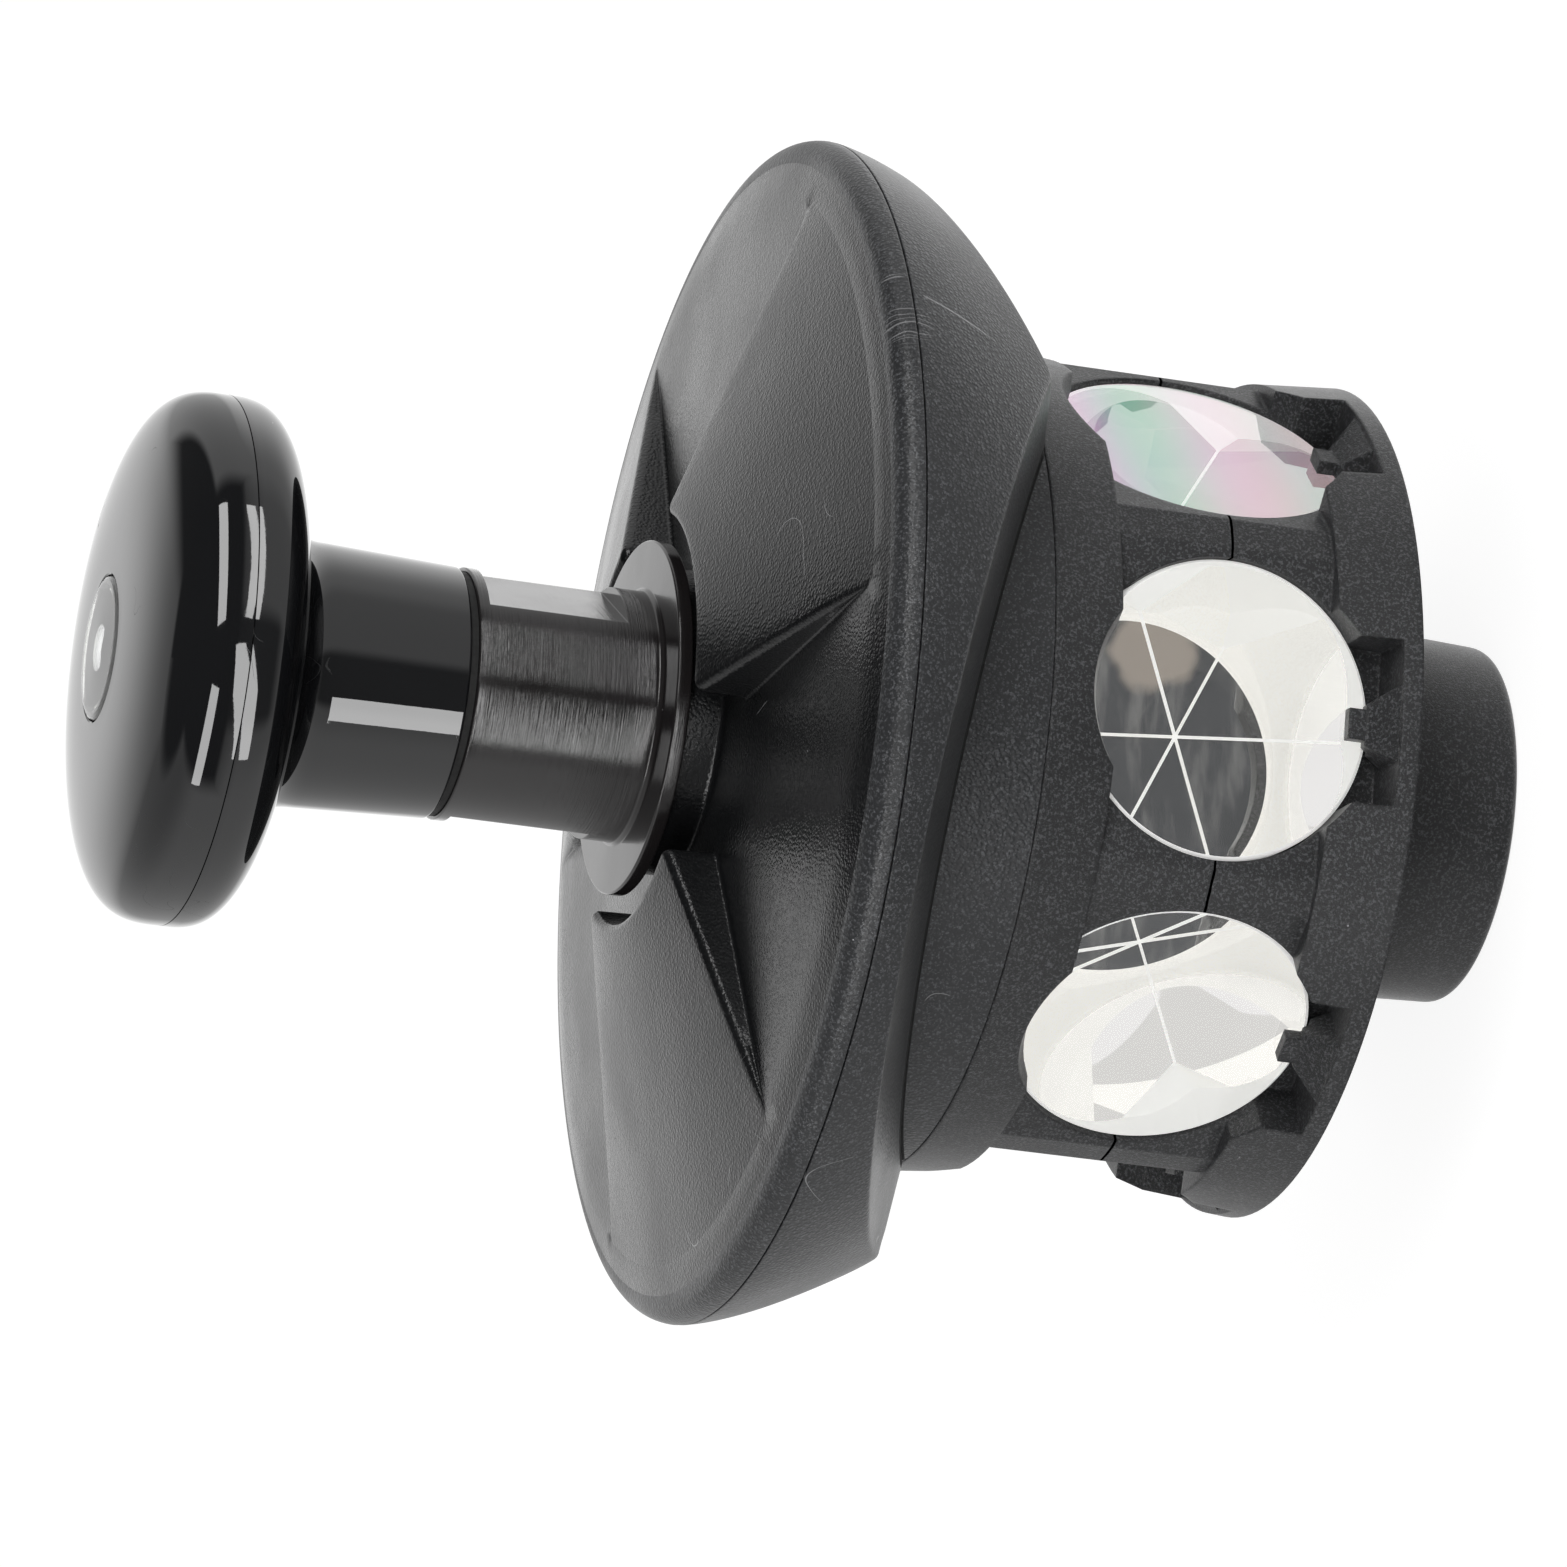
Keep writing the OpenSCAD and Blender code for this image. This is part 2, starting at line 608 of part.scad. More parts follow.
// Turned stub that clamps the hood and carries the knob on its male thread
module stub_adapter() {
    chamfer = flange_t / 4;
    foot_z = flange_z + flange_t;
    step_r = shank_r + 0.15 * flange_t;
    bead_r = shank_r + bead_h / 11;
    bead_edge = bead_h / 5;
    thread_depth = 1.1;
    relief_h = 1.2;
    tail_z = core_top - core_thread_h;
    stud_top = shank_top + stud_h;
    flats_top = shank_top - 1.3 * bead_h;
    outline = concat([[0, tail_z], [stud_r - thread_depth, tail_z], [stud_r, tail_z + thread_depth],
        [stud_r, core_top], [core_r - slip, core_top], [core_r - slip, flange_z],
        [flange_r - chamfer, flange_z], [flange_r, flange_z + chamfer], [flange_r, foot_z - chamfer],
        [flange_r - chamfer, foot_z]],
        bend([foot_r, foot_z], [step_r, foot_z], [step_r, foot_z + flange_t], 6),
        [[step_r, foot_z + 1.7 * flange_t], [shank_r, foot_z + 1.8 * flange_t],
        [shank_r, shank_top - bead_h], [bead_r, shank_top - bead_h + bead_edge],
        [bead_r, shank_top - bead_edge], [bead_r - bead_edge, shank_top],
        [stud_r - thread_depth, shank_top], [stud_r - thread_depth, shank_top + relief_h],
        [stud_r, shank_top + relief_h + thread_depth], [stud_r, stud_top - thread_depth],
        [stud_r - thread_depth, stud_top], [0, stud_top]]);
    color([0.1, 0.1, 0.11]) difference() {
        rotate_extrude() polygon(outline);
        for (side = [0, 180]) rotate([0, 0, side])
            translate([flats_w / 2, -far / 2, flats_top - flats_h]) cube([far, far, flats_h]);
        // groove for the seal
        translate([0, 0, flange_z - over]) rotate_extrude()
            translate([seal_r - seal_t / 2 - slip, 0]) square([seal_t + 2 * slip, seal_t + slip + over]);
    }
}

// Thin washer that stays with the knob
module neck_washer() {
    color([0.05, 0.05, 0.05]) translate([0, 0, shank_top + washer_gap]) difference() {
        cylinder(r = shank_r - washer_t / 2, h = washer_t);
        translate([0, 0, -over]) cylinder(r = stud_r + slip, h = washer_t + 2 * over);
    }
}

// Lower half of the knob with its hollow neck
module knob_base() {
    blend_angle = 57;
    edge = neck_draft / 2;
    hollow_knob_r = knob_r - knob_wall;
    under = [for (p = quarter(knob_r, knob_under_h, knob_fullness, blend_angle, 0, 12))
        [p[0], knob_seam_z - p[1]]];
    outer = concat([[insert_r + slip, neck_z], [neck_end_r - edge, neck_z], [neck_end_r, neck_z + edge]],
        bend([neck_r, neck_top], [neck_r, under[0][1]], under[0], 7), under,
        [[knob_r - knob_groove, knob_seam_z], [insert_r + slip, knob_seam_z]]);
    cavity = [for (p = quarter(hollow_knob_r, knob_under_h - knob_wall, knob_fullness, blend_angle, 0, 10))
        [p[0], knob_seam_z - p[1]]];
    inner = concat([[insert_r, knob_seam_z + over], [insert_r, insert_top],
        [insert_head_r + slip, insert_top], [insert_head_r + slip, cavity[0][1]]],
        cavity, [[hollow_knob_r, knob_seam_z + over]]);
    color([0.03, 0.03, 0.03]) difference() {
        rotate_extrude() polygon(outer);
        rotate_extrude() polygon(inner);
    }
}

// Upper half of the knob, with a round pocket for the level
module knob_cap() {
    outer = concat([[0, knob_seam_z]], [[knob_r - knob_groove, knob_seam_z]],
        [for (p = quarter(knob_r, knob_top_h, knob_fullness, 0, 90, 18)) [p[0], knob_seam_z + p[1]]]);
    inner = concat([[0, knob_seam_z - over], [knob_r - knob_wall, knob_seam_z - over]],
        [for (p = quarter(knob_r - knob_wall, knob_top_h - knob_wall, knob_fullness, 0, 90, 14))
            [p[0], knob_seam_z + p[1]]]);
    color([0.03, 0.03, 0.03]) difference() {
        union() {
            difference() {
                rotate_extrude() polygon(outer);
                rotate_extrude() polygon(inner);
            }
            // cup that holds the level
            translate([0, 0, vial_z - knob_wall / 2]) cylinder(r = vial_r + 0.7 * knob_wall, h = vial_h);
        }
        translate([0, 0, vial_z]) cylinder(r = vial_r + slip, h = far);
    }
}

// Brass insert with the female thread, held in the neck
module knob_insert() {
    foot_z = neck_z + neck_draft;
    color([0.78, 0.62, 0.3]) difference() {
        union() {
            translate([0, 0, foot_z]) cylinder(r = insert_r, h = insert_top - foot_z);
            translate([0, 0, insert_top]) cylinder(r = insert_head_r, h = insert_head_h);
        }
        translate([0, 0, neck_z - over]) cylinder(r = socket_thread_r, h = neck_to_seam);
    }
}

// The level, from the pocket's floor up: backing, plug, fluid with its bubble, clear body
module vial_body() {
    edge = vial_wall / 2;
    vial_top = vial_z + vial_h - vial_proud / 2;
    dome = bend([vial_r, vial_top - edge], [vial_r, vial_top], [vial_r - edge, vial_top], 4);
    color([0.85, 0.87, 0.88]) difference() {
        rotate_extrude() polygon(concat([[0, vial_z + backing_h], [vial_r, vial_z + backing_h]], dome,
            [[0, vial_z + vial_h]]));
        translate([0, 0, vial_z - over]) cylinder(r = fluid_r, h = over + vial_h - vial_wall);
    }
}
module vial_backing() {
    color([0.9, 0.9, 0.9]) translate([0, 0, vial_z]) cylinder(r = vial_r, h = backing_h);
}
module vial_plug() {
    color([0.92, 0.92, 0.9]) translate([0, 0, vial_z + backing_h]) cylinder(r = fluid_r, h = plug_h);
}
// The bubble lies against the roof of the level, as a shallow bowl with its rim up
module bubble_solid(grow, top) {
    bowl = [for (t = [-75:15:0]) [(bubble_r + grow) * cos(t), (bubble_h + grow) * sin(t)]];
    rotate_extrude() polygon(concat([[0, top], [0, bowl[0][1]]], bowl, [[bubble_r + grow, top]]));
}
module vial_fluid() {
    color([0.85, 0.9, 0.75]) difference() {
        translate([0, 0, fluid_z]) cylinder(r = fluid_r, h = fluid_h);
        translate([0, 0, fluid_z + fluid_h]) bubble_solid(slip, over);
    }
}
module vial_bubble() {
    color([0.95, 0.97, 0.95]) translate([0, 0, fluid_z + fluid_h - slip]) bubble_solid(0, slip / 2);
}

top_shell();
lower_shell();
upper_frame();
lower_frame();
prism_1();
prism_2();
prism_3();
prism_4();
prism_5();
prism_6();
prism_7();
core_tube();
core_sleeve();
base_bushing();
socket_boot();
stub_adapter();
flange_seal();
frame_screws();
neck_washer();
knob_base();
knob_cap();
knob_insert();
vial_body();
vial_plug();
vial_fluid();
vial_bubble();
vial_backing();
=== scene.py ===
"""Looks of the omnidirectional surveying prism, in the frame of its CAD model (metres)."""

import math

import bmesh
import bpy
from mathutils import Matrix, Vector, geometry


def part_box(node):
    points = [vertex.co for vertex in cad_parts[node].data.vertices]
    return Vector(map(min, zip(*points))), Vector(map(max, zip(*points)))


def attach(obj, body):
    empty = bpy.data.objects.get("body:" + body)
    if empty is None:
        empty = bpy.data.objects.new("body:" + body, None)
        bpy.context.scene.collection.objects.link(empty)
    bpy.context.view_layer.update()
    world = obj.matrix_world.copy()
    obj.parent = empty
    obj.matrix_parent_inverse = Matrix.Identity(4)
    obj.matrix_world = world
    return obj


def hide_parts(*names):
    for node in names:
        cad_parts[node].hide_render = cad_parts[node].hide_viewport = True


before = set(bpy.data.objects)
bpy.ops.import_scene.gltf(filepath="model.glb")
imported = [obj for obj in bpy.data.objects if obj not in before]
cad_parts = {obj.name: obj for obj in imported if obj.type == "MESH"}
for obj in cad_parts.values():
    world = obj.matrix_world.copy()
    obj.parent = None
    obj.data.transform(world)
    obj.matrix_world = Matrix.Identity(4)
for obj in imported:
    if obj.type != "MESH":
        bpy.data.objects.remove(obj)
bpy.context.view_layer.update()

MM = 0.001


# ------------------------------------------------- sizes of the model, in millimetres

# Read from the CAD nodes
SEAM_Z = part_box("lower_shell")[1].z / MM
FRAME_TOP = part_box("lower_shell")[0].z / MM
SOCKET_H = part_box("socket_boot")[1].z / MM
NECK_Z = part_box("knob_base")[0].z / MM
KNOB_SEAM_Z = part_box("knob_cap")[0].z / MM
KNOB_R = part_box("knob_cap")[1].x / MM
HOOD_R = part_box("top_shell")[1].x / MM
RING_Z = (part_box("prism_1")[0].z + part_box("prism_1")[1].z) / 2 / MM
VIAL_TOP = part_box("vial_body")[1].z / MM
LIQUID_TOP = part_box("vial_fluid")[1].z / MM

# Repeated from the CAD source: upper half of the hood
BOSS_H = 5.9
BOSS_R = 13
BOSS_FOOT_R = BOSS_R + 0.5
FLANGE_Z = SEAM_Z + 9
BAND_Z = FLANGE_Z - BOSS_H
BAND_R = HOOD_R - 2.2
BAND_FALL = 0.7
PETAL_R = BAND_R - 2.9
CLEARING_R = BOSS_R + 4.5
PETAL_RISE = 6.7
FLOOR_RISE = 2.1
RECESS_APEX = 7.3
RECESS_HALF = math.radians(35.1)
PETALS = [math.radians(a) for a in (90, 210, 330)]
RECESSES = [math.radians(a) for a in (-90, 30, 150)]

# Lower half of the hood
RIM_R = HOOD_R - 0.88
LOBE_R = HOOD_R - 6.2
LOBE_DROP = 13.8
CUT_DROP = 2.55
CUT_SLOPE = math.tan(math.radians(22.5))
COLLAR_R = 35.5

# Prisms
PRISM_R = 12.7
PRISM_DEPTH = 19.4
PRISM_FACE_R = 31.6
PRISM_COUNT = 7
PRISM_STEP = 2 * math.pi / PRISM_COUNT
PRISM_HALF_GAP = 0.3
TURNED_PRISM, COATED_PRISM = 5, 6

# Socket, stub and knob
BORE_R = 8.0
BORE_MOUTH = 0.8
BORE_DEPTH = 14.4
BUSHING_R = 12.5
THREAD_PITCH = 25.4 / 11
FLANGE_R = 15.1
FLANGE_T = 1.3
SHANK_R = 10.7
SHANK_TOP = FLANGE_Z + 17.2
FLATS_HALF = 9.25
FLATS_LOW, FLATS_TOP = SHANK_TOP - 13.0, SHANK_TOP - 1.0
STUD_R = 7.94
STUD_TOP = SHANK_TOP + 12.4
NECK_TOP = NECK_Z + 11.6
NECK_TOP_R = 11.2
KNOB_UP, KNOB_DOWN = 7.85, 6.85
KNOB_FULLNESS = 3.2
POCKET_R = 6.2
POCKET_DEPTH = 3.6


# --------------------------------------------------------------------- mesh helpers

def mesh_object(name, verts, faces, smooth_angle, materials, face_slots=None):
    """A piece from vertices in millimetres, smooth except at edges sharper than smooth_angle."""
    mesh = bpy.data.meshes.new(name)
    mesh.from_pydata([Vector(v) * MM for v in verts], [], faces)
    for mat in materials:
        mesh.materials.append(mat)
    if face_slots:
        mesh.polygons.foreach_set("material_index", face_slots)
    bm = bmesh.new()
    bm.from_mesh(mesh)
    bmesh.ops.remove_doubles(bm, verts=bm.verts, dist=1e-7)
    bmesh.ops.dissolve_degenerate(bm, edges=bm.edges, dist=1e-8)
    bmesh.ops.recalc_face_normals(bm, faces=bm.faces)
    bm.to_mesh(mesh)
    bm.free()
    mesh.shade_smooth()
    mesh.set_sharp_from_angle(angle=math.radians(smooth_angle))
    obj = bpy.data.objects.new(name, mesh)
    bpy.context.scene.collection.objects.link(obj)
    return obj


def piece(obj, body, slot, *nodes):
    """Declares what a piece rides on, and hides the CAD nodes that it stands for. slot is not used.
    """
    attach(obj, body)
    if nodes:
        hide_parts(*nodes)
    return obj


def lerp(a, b, t):
    return a + (b - a) * t


def direction(azimuth, elevation):
    """The unit vector towards an azimuth and elevation in degrees."""
    a, e = math.radians(azimuth), math.radians(elevation)
    return Vector((math.cos(e) * math.cos(a), math.cos(e) * math.sin(a), math.sin(e)))


def bend(a, b, c, steps):
    """A smooth arc of (r, z) points from a to c, drawn towards b."""
    a, b, c = Vector(a), Vector(b), Vector(c)
    return [tuple(a.lerp(b, t).lerp(b.lerp(c, t), t))
            for t in (i / steps for i in range(steps + 1))]


def rounded(points):
    """The (r, z) outline, with the corners given as (r, z, radius) rounded by that radius."""
    steps = 4
    out = []
    for i, p in enumerate(points):
        radius = p[2] if len(p) > 2 else 0
        if i in (0, len(points) - 1) or radius <= 0:
            out.append((p[0], p[1]))
            continue
        here = Vector(p[:2])
        before = Vector(points[i - 1][:2]) - here
        after = Vector(points[i + 1][:2]) - here
        reach = min(radius, 0.45 * before.length, 0.45 * after.length)
        out += bend(here + before.normalized() * reach, here,
                    here + after.normalized() * reach, steps)
    return out


def revolve(name, outline, materials, segments, closed=False, smooth_angle=35,
            radius_at=None):
    """Turns an (r, z) outline about the axis. radius_at(r, z, angle) may change each radius."""
    verts, faces = [], []
    rows = []
    for r, z in outline:
        if r < 1e-6:
            rows.append([len(verts)] * segments)
            verts.append((0, 0, z))
            continue
        rows.append(list(range(len(verts), len(verts) + segments)))
        for k in range(segments):
            a = 2 * math.pi * k / segments
            rr = radius_at(r, z, a) if radius_at else r
            verts.append((rr * math.cos(a), rr * math.sin(a), z))
    pairs = list(zip(rows, rows[1:])) + ([(rows[-1], rows[0])] if closed else [])
    for low, high in pairs:
        for k in range(segments):
            n = (k + 1) % segments
            quad = [low[k], low[n], high[n], high[k]]
            quad = [v for i, v in enumerate(quad) if v not in quad[:i]]
            if len(quad) > 2:
                faces.append(quad)
    return mesh_object(name, verts, faces, smooth_angle, materials)


# ------------------------------------------------------------------------ materials

class Nodes:
    """Short calls for building a node tree."""

    def __init__(self, tree):
        self.tree = tree

    def node(self, kind, **settings):
        node = self.tree.nodes.new(kind)
        for key, value in settings.items():
            setattr(node, key, value)
        return node

    def link(self, source, target):
        self.tree.links.new(source, target)

    def math(self, kind, a, b=0):
        node = self.node("ShaderNodeMath", operation=kind)
        for socket, value in zip(node.inputs, (a, b)):
            if isinstance(value, (int, float)):
                socket.default_value = value
            else:
                self.link(value, socket)
        return node.outputs["Value"]

    def product(self, first, *others):
        for other in others:
            first = self.math("MULTIPLY", first, other)
        return first

    def most(self, first, *others):
        """The largest of some values."""
        for other in others:
            first = self.math("MAXIMUM", first, other)
        return first

    def gap(self, value, centre):
        """How far a value is from a centre."""
        return self.math("ABSOLUTE", self.math("SUBTRACT", value, centre))

    def span(self, value, low, high, to_low=0.0, to_high=1.0, kind="SMOOTHSTEP"):
        """Maps low..high of a value to to_low..to_high."""
        node = self.node("ShaderNodeMapRange", interpolation_type=kind)
        self.link(value, node.inputs["Value"])
        node.inputs["From Min"].default_value = low
        node.inputs["From Max"].default_value = high
        node.inputs["To Min"].default_value = to_low
        node.inputs["To Max"].default_value = to_high
        return node.outputs["Result"]

    def vector_math(self, kind, vector, constant):
        """A number from a vector and a constant vector."""
        node = self.node("ShaderNodeVectorMath", operation=kind)
        self.link(vector, node.inputs[0])
        node.inputs[1].default_value = constant
        return node.outputs["Value"]


class Paint(Nodes):
    """A material with its node tree. Lengths are in millimetres."""

    def __init__(self, name, **inputs):
        self.mat = bpy.data.materials.new(name)
        self.mat.use_nodes = True
        super().__init__(self.mat.node_tree)
        self.bsdf = self.tree.nodes["Principled BSDF"]
        for key, value in inputs.items():
            self.bsdf.inputs[key.replace("_", " ")].default_value = value
        self.place = self.node("ShaderNodeTexCoord").outputs["Object"]

    def paint(self, socket, value):
        """Links a value to a socket of the shader."""
        self.link(value, self.bsdf.inputs[socket])

    def height(self):
        split = self.node("ShaderNodeSeparateXYZ")
        self.link(self.place, split.inputs["Vector"])
        return split.outputs["Z"]

    def stretched(self, scale):
        mapping = self.node("ShaderNodeMapping")
        mapping.inputs["Scale"].default_value = scale
        self.link(self.place, mapping.inputs["Vector"])
        return mapping.outputs["Vector"]

    def noise(self, size, detail, rough=0.5, vector=None):
        """Noise with features of about size millimetres."""
        node = self.node("ShaderNodeTexNoise")
        node.inputs["Scale"].default_value = 1 / (size * MM)
        node.inputs["Detail"].default_value = detail
        node.inputs["Roughness"].default_value = rough
        self.link(vector or self.place, node.inputs["Vector"])
        return node.outputs["Fac"]

    def cells(self, size, feature="F1"):
        """A Voronoi node with cells of about size millimetres."""
        node = self.node("ShaderNodeTexVoronoi", feature=feature)
        node.inputs["Scale"].default_value = 1 / (size * MM)
        self.link(self.place, node.inputs["Vector"])
        return node

    def mix(self, factor, a, b):
        """A colour between a and b."""
        node = self.node("ShaderNodeMix", data_type="RGBA")
        self.link(factor, node.inputs["Factor"])
        for key, value in (("A", a), ("B", b)):
            socket = [s for s in node.inputs if s.name == key and s.type == "RGBA"][0]
            if isinstance(value, tuple):
                socket.default_value = (*value, 1)
            else:
                self.link(value, socket)
        return [s for s in node.outputs if s.type == "RGBA"][0]

    def bumps(self, *layers, edge=0.0):
        """Stacks bumps of (height, depth) on a normal whose edges are rounded by edge."""
        normal = None
        if edge:
            soft = self.node("ShaderNodeBevel", samples=6)
            soft.inputs["Radius"].default_value = edge * MM
            normal = soft.outputs["Normal"]
        for height, depth in layers:
            node = self.node("ShaderNodeBump")
            node.inputs["Distance"].default_value = depth * MM
            self.link(height, node.inputs["Height"])
            if normal:
                self.link(normal, node.inputs["Normal"])
            normal = node.outputs["Normal"]
        self.paint("Normal", normal)

    def painted_deep_glow(self):
        """Paints a glow on a path that runs out of reflections in a prism, like the painted glow of
        its ground sides, though the glass is no lamp.
        """
        last, level = 3.5, 0.5
        depth = self.node("ShaderNodeLightPath").outputs["Glossy Depth"]
        self.bsdf.inputs["Emission Color"].default_value = (0.97, 0.965, 1, 1)
        deep = self.span(depth, last - 0.1, last + 0.1, 0, level, "LINEAR")
        self.paint("Emission Strength", deep)

    def near(self, centre, low, high):
        """1 within low millimetres of a centre, falling to 0 at high."""
        distance = self.vector_math("DISTANCE", self.place, Vector(centre) * MM)
        return self.span(distance, low * MM, high * MM, 1, 0)

    def line(self, start, end, width):
        """A fine line across a turned surface between two points."""
        start, end = Vector(start) * MM, Vector(end) * MM
        length = (end - start).length
        along = (end - start).normalized()
        across = along.cross(Vector((start.x, start.y, 0))).normalized()
        apart = self.gap(self.vector_math("DOT_PRODUCT", self.place, across), start.dot(across))
        reach = self.math("SUBTRACT", self.vector_math("DOT_PRODUCT", self.place, along),
                          start.dot(along))
        inside = self.product(self.span(reach, 0, 0.05 * length),
                              self.span(reach, 0.7 * length, length, 1, 0))
        return self.product(self.span(apart, 0.4 * width * MM, width * MM, 1, 0), inside)

    def scratches(self, size=7, width=0.0035):
        """Thin curved lines in a few places."""
        fine = self.span(self.gap(self.noise(size, 0), 0.5), 0.3 * width, width, 1, 0)
        place = self.span(self.noise(11, 1, vector=self.stretched((1, 1, 1.3))), 0.63, 0.66)
        return self.product(fine, place)

    def dust(self, base, size=3.5):
        """A few small pale specks on a base colour."""
        cells = self.cells(size)
        near = self.span(cells.outputs["Distance"], 0.014, 0.022, 1, 0)
        split = self.node("ShaderNodeSeparateColor")
        self.link(cells.outputs["Color"], split.inputs["Color"])
        some = self.span(split.outputs["Red"], 0.6, 0.62)
        return self.mix(self.product(near, some), base, (0.35, 0.35, 0.36))

    def wear(self, rough):
        """Broad patches, and a roughness that changes a little with them."""
        worn = self.noise(14, 3)
        return worn, self.span(worn, 0.3, 0.7, rough - 0.04, rough + 0.05)


def shade(colour, factor):
    return tuple(factor * c for c in colour)


def rim_marks(p):
    """A scratch under the hood's seam, scuffs across the rim beside it, and wear along the seam."""
    scratch = p.line((43.85, -24.64, 63.55), (40.61, -24.36, 56.12), width=0.13)
    round_rim = p.vector_math("DOT_PRODUCT", p.place, direction(56.5, 0))
    join = p.node("ShaderNodeCombineXYZ")
    p.link(p.math("ADD", round_rim, p.math("MULTIPLY", p.noise(2.5, 1), 0.8 * MM)),
           join.inputs["X"])
    streaks = p.span(p.noise(0.26, 2, vector=join.outputs["Vector"]), 0.52, 0.6)
    patches = p.most(p.near((41.9, -27.8, 65.2), 1.6, 2.7), p.near((44.7, -22.8, 65.8), 0.5, 1.2))
    scuffs = p.product(streaks, patches, 0.6)
    apart = p.gap(p.vector_math("DOT_PRODUCT", p.place, Vector((0, 0, 1))), (SEAM_Z + 0.2) * MM)
    worn = p.product(p.span(apart, 0.8 * MM, 2.4 * MM, 1, 0), p.span(p.noise(9, 1), 0.46, 0.6))
    specks = p.product(worn, p.span(p.noise(0.2, 2, 0.7), 0.6, 0.68, 0, 0.5))
    return p.most(scratch, scuffs, specks)


def grained_plastic(name, base, grain, depth, rough, painted_sparkle_level=0.2, marks=None):
    """Moulded black plastic with a leather grain, painted highlight specks and a few hairline
    scratches; the tops of its grain are lighter too, as painted highlight.
    """
    p = Paint(name, IOR=1.45)
    cells = p.cells(grain, "SMOOTH_F1")
    cells.inputs["Smoothness"].default_value = 0.4
    height = p.math("ADD", p.span(cells.outputs["Distance"], 0.1, 0.75, 1, 0),
                    p.math("MULTIPLY", p.noise(2.4 * grain, 1), 0.6))
    p.bumps((height, depth), (p.noise(0.35 * grain, 2), 0.3 * depth))
    worn, roughness = p.wear(rough)
    p.paint("Roughness", roughness)
    tone = p.mix(worn, shade(base, 0.8), shade(base, 1.2))
    # Painted highlight: the tops of the grain turn up to three times lighter
    tone = p.mix(p.product(p.span(height, 0.9, 1.4), painted_sparkle_level), tone, shade(base, 3))
    # Painted highlight: specks up to 4.5 times the base colour
    painted_glints = p.span(p.noise(0.27, 2, 0.7), 0.54, 0.68, 0, painted_sparkle_level)
    tone = p.dust(p.mix(painted_glints, tone, shade(base, 4.5)))
    lines = p.most(p.scratches(), marks(p)) if marks else p.scratches()
    p.paint("Base Color", p.mix(lines, tone, (0.24, 0.24, 0.245)))
    return p.mat


def plastic_with_painted_sparkle(name, base, rough):
    """Moulded black plastic with fine bright specks painted into its colour as highlights, and a
    dark joint line round the windows.
    """
    p = Paint(name, IOR=1.45)
    joint_z = RING_Z + 0.25
    height = p.math("ADD", p.height(), p.math("MULTIPLY", p.noise(4, 2), 0.5 * MM))
    joint = p.span(p.gap(height, joint_z * MM), 0.08 * MM, 0.16 * MM, 1, 0)
    pits = p.span(p.cells(0.17).outputs["Distance"], 0.05, 0.6)
    p.bumps((pits, 0.022), (p.noise(0.09, 1), 0.008), edge=0.45)
    # Painted highlight: specks up to 4.5 times the base colour
    painted_sparkle = p.span(p.noise(0.25, 2, 0.7), 0.48, 0.68)
    tone = p.dust(p.mix(painted_sparkle, base, shade(base, 4.5)), 4)
    p.paint("Base Color", p.mix(joint, tone, (0, 0, 0)))
    p.paint("Roughness", p.math("ADD", p.wear(rough)[1], p.math("MULTIPLY", joint, 0.5)))
    p.paint("Specular IOR Level", p.span(joint, 0, 1, 0.5, 0))
    return p.mat


def gloss_plastic(name):
    """Polished black plastic with handling marks and a faint waviness."""
    p = Paint(name, IOR=1.68)
    tone = p.mix(p.noise(9, 2), (0.0045, 0.0048, 0.0055), (0.006, 0.0062, 0.007))
    p.paint("Base Color", p.dust(tone, 4.5))
    rubbed = p.span(p.noise(6, 4, 0.6), 0.45, 0.75, 0.02, 0.05)
    p.paint("Roughness", p.math("ADD", rubbed, p.math("MULTIPLY", p.scratches(3, 0.006), 0.4)))
    p.bumps((p.noise(3.5, 1), 0.004), (p.noise(0.5, 2), 0.0006))
    return p.mat


def turned_metal(name, base, metallic, rough, depth=0.008):
    """Turned metal with fine rings along the axis."""
    p = Paint(name, Metallic=metallic, IOR=1.65)
    rings = p.noise(0.12, 3, 0.6, p.stretched((0.02, 0.02, 1)))
    patches = p.noise(5, 3)
    p.bumps((rings, depth), (patches, 0.01), edge=0.12)
    p.paint("Base Color", p.dust(p.mix(rings, shade(base, 0.75), shade(base, 1.25)), 5))
    p.paint("Roughness", p.span(patches, 0.3, 0.7, rough - 0.04, rough + 0.04))
    return p.mat


def rubber(name):
    p = Paint(name, IOR=1.5)
    p.paint("Base Color", p.mix(p.noise(3, 2), (0.012, 0.012, 0.012), (0.02, 0.02, 0.02)))
    p.paint("Roughness", p.span(p.noise(1.5, 2), 0.3, 0.7, 0.55, 0.75))
    p.bumps((p.noise(0.3, 2), 0.01))
    return p.mat


def clear(name, colour, ior, rough=0.0, painted_deep_glow=False):
    """Clear glass, acrylic, liquid or air with faint ripples in its surface."""
    p = Paint(name, IOR=ior, Transmission_Weight=1.0, Roughness=rough)
    if painted_deep_glow:
        p.painted_deep_glow()
    p.paint("Base Color", p.mix(p.noise(8, 1), colour, shade(colour, 0.98)))
    p.bumps((p.noise(6, 1), 0.0008))
    return p.mat


def silvered(name, colour):
    """Silvered rear face of a prism."""
    p = Paint(name, Metallic=1.0, Roughness=0.0)
    p.paint("Base Color", p.mix(p.noise(7, 2), shade(colour, 0.96), colour))
    p.painted_deep_glow()
    return p.mat


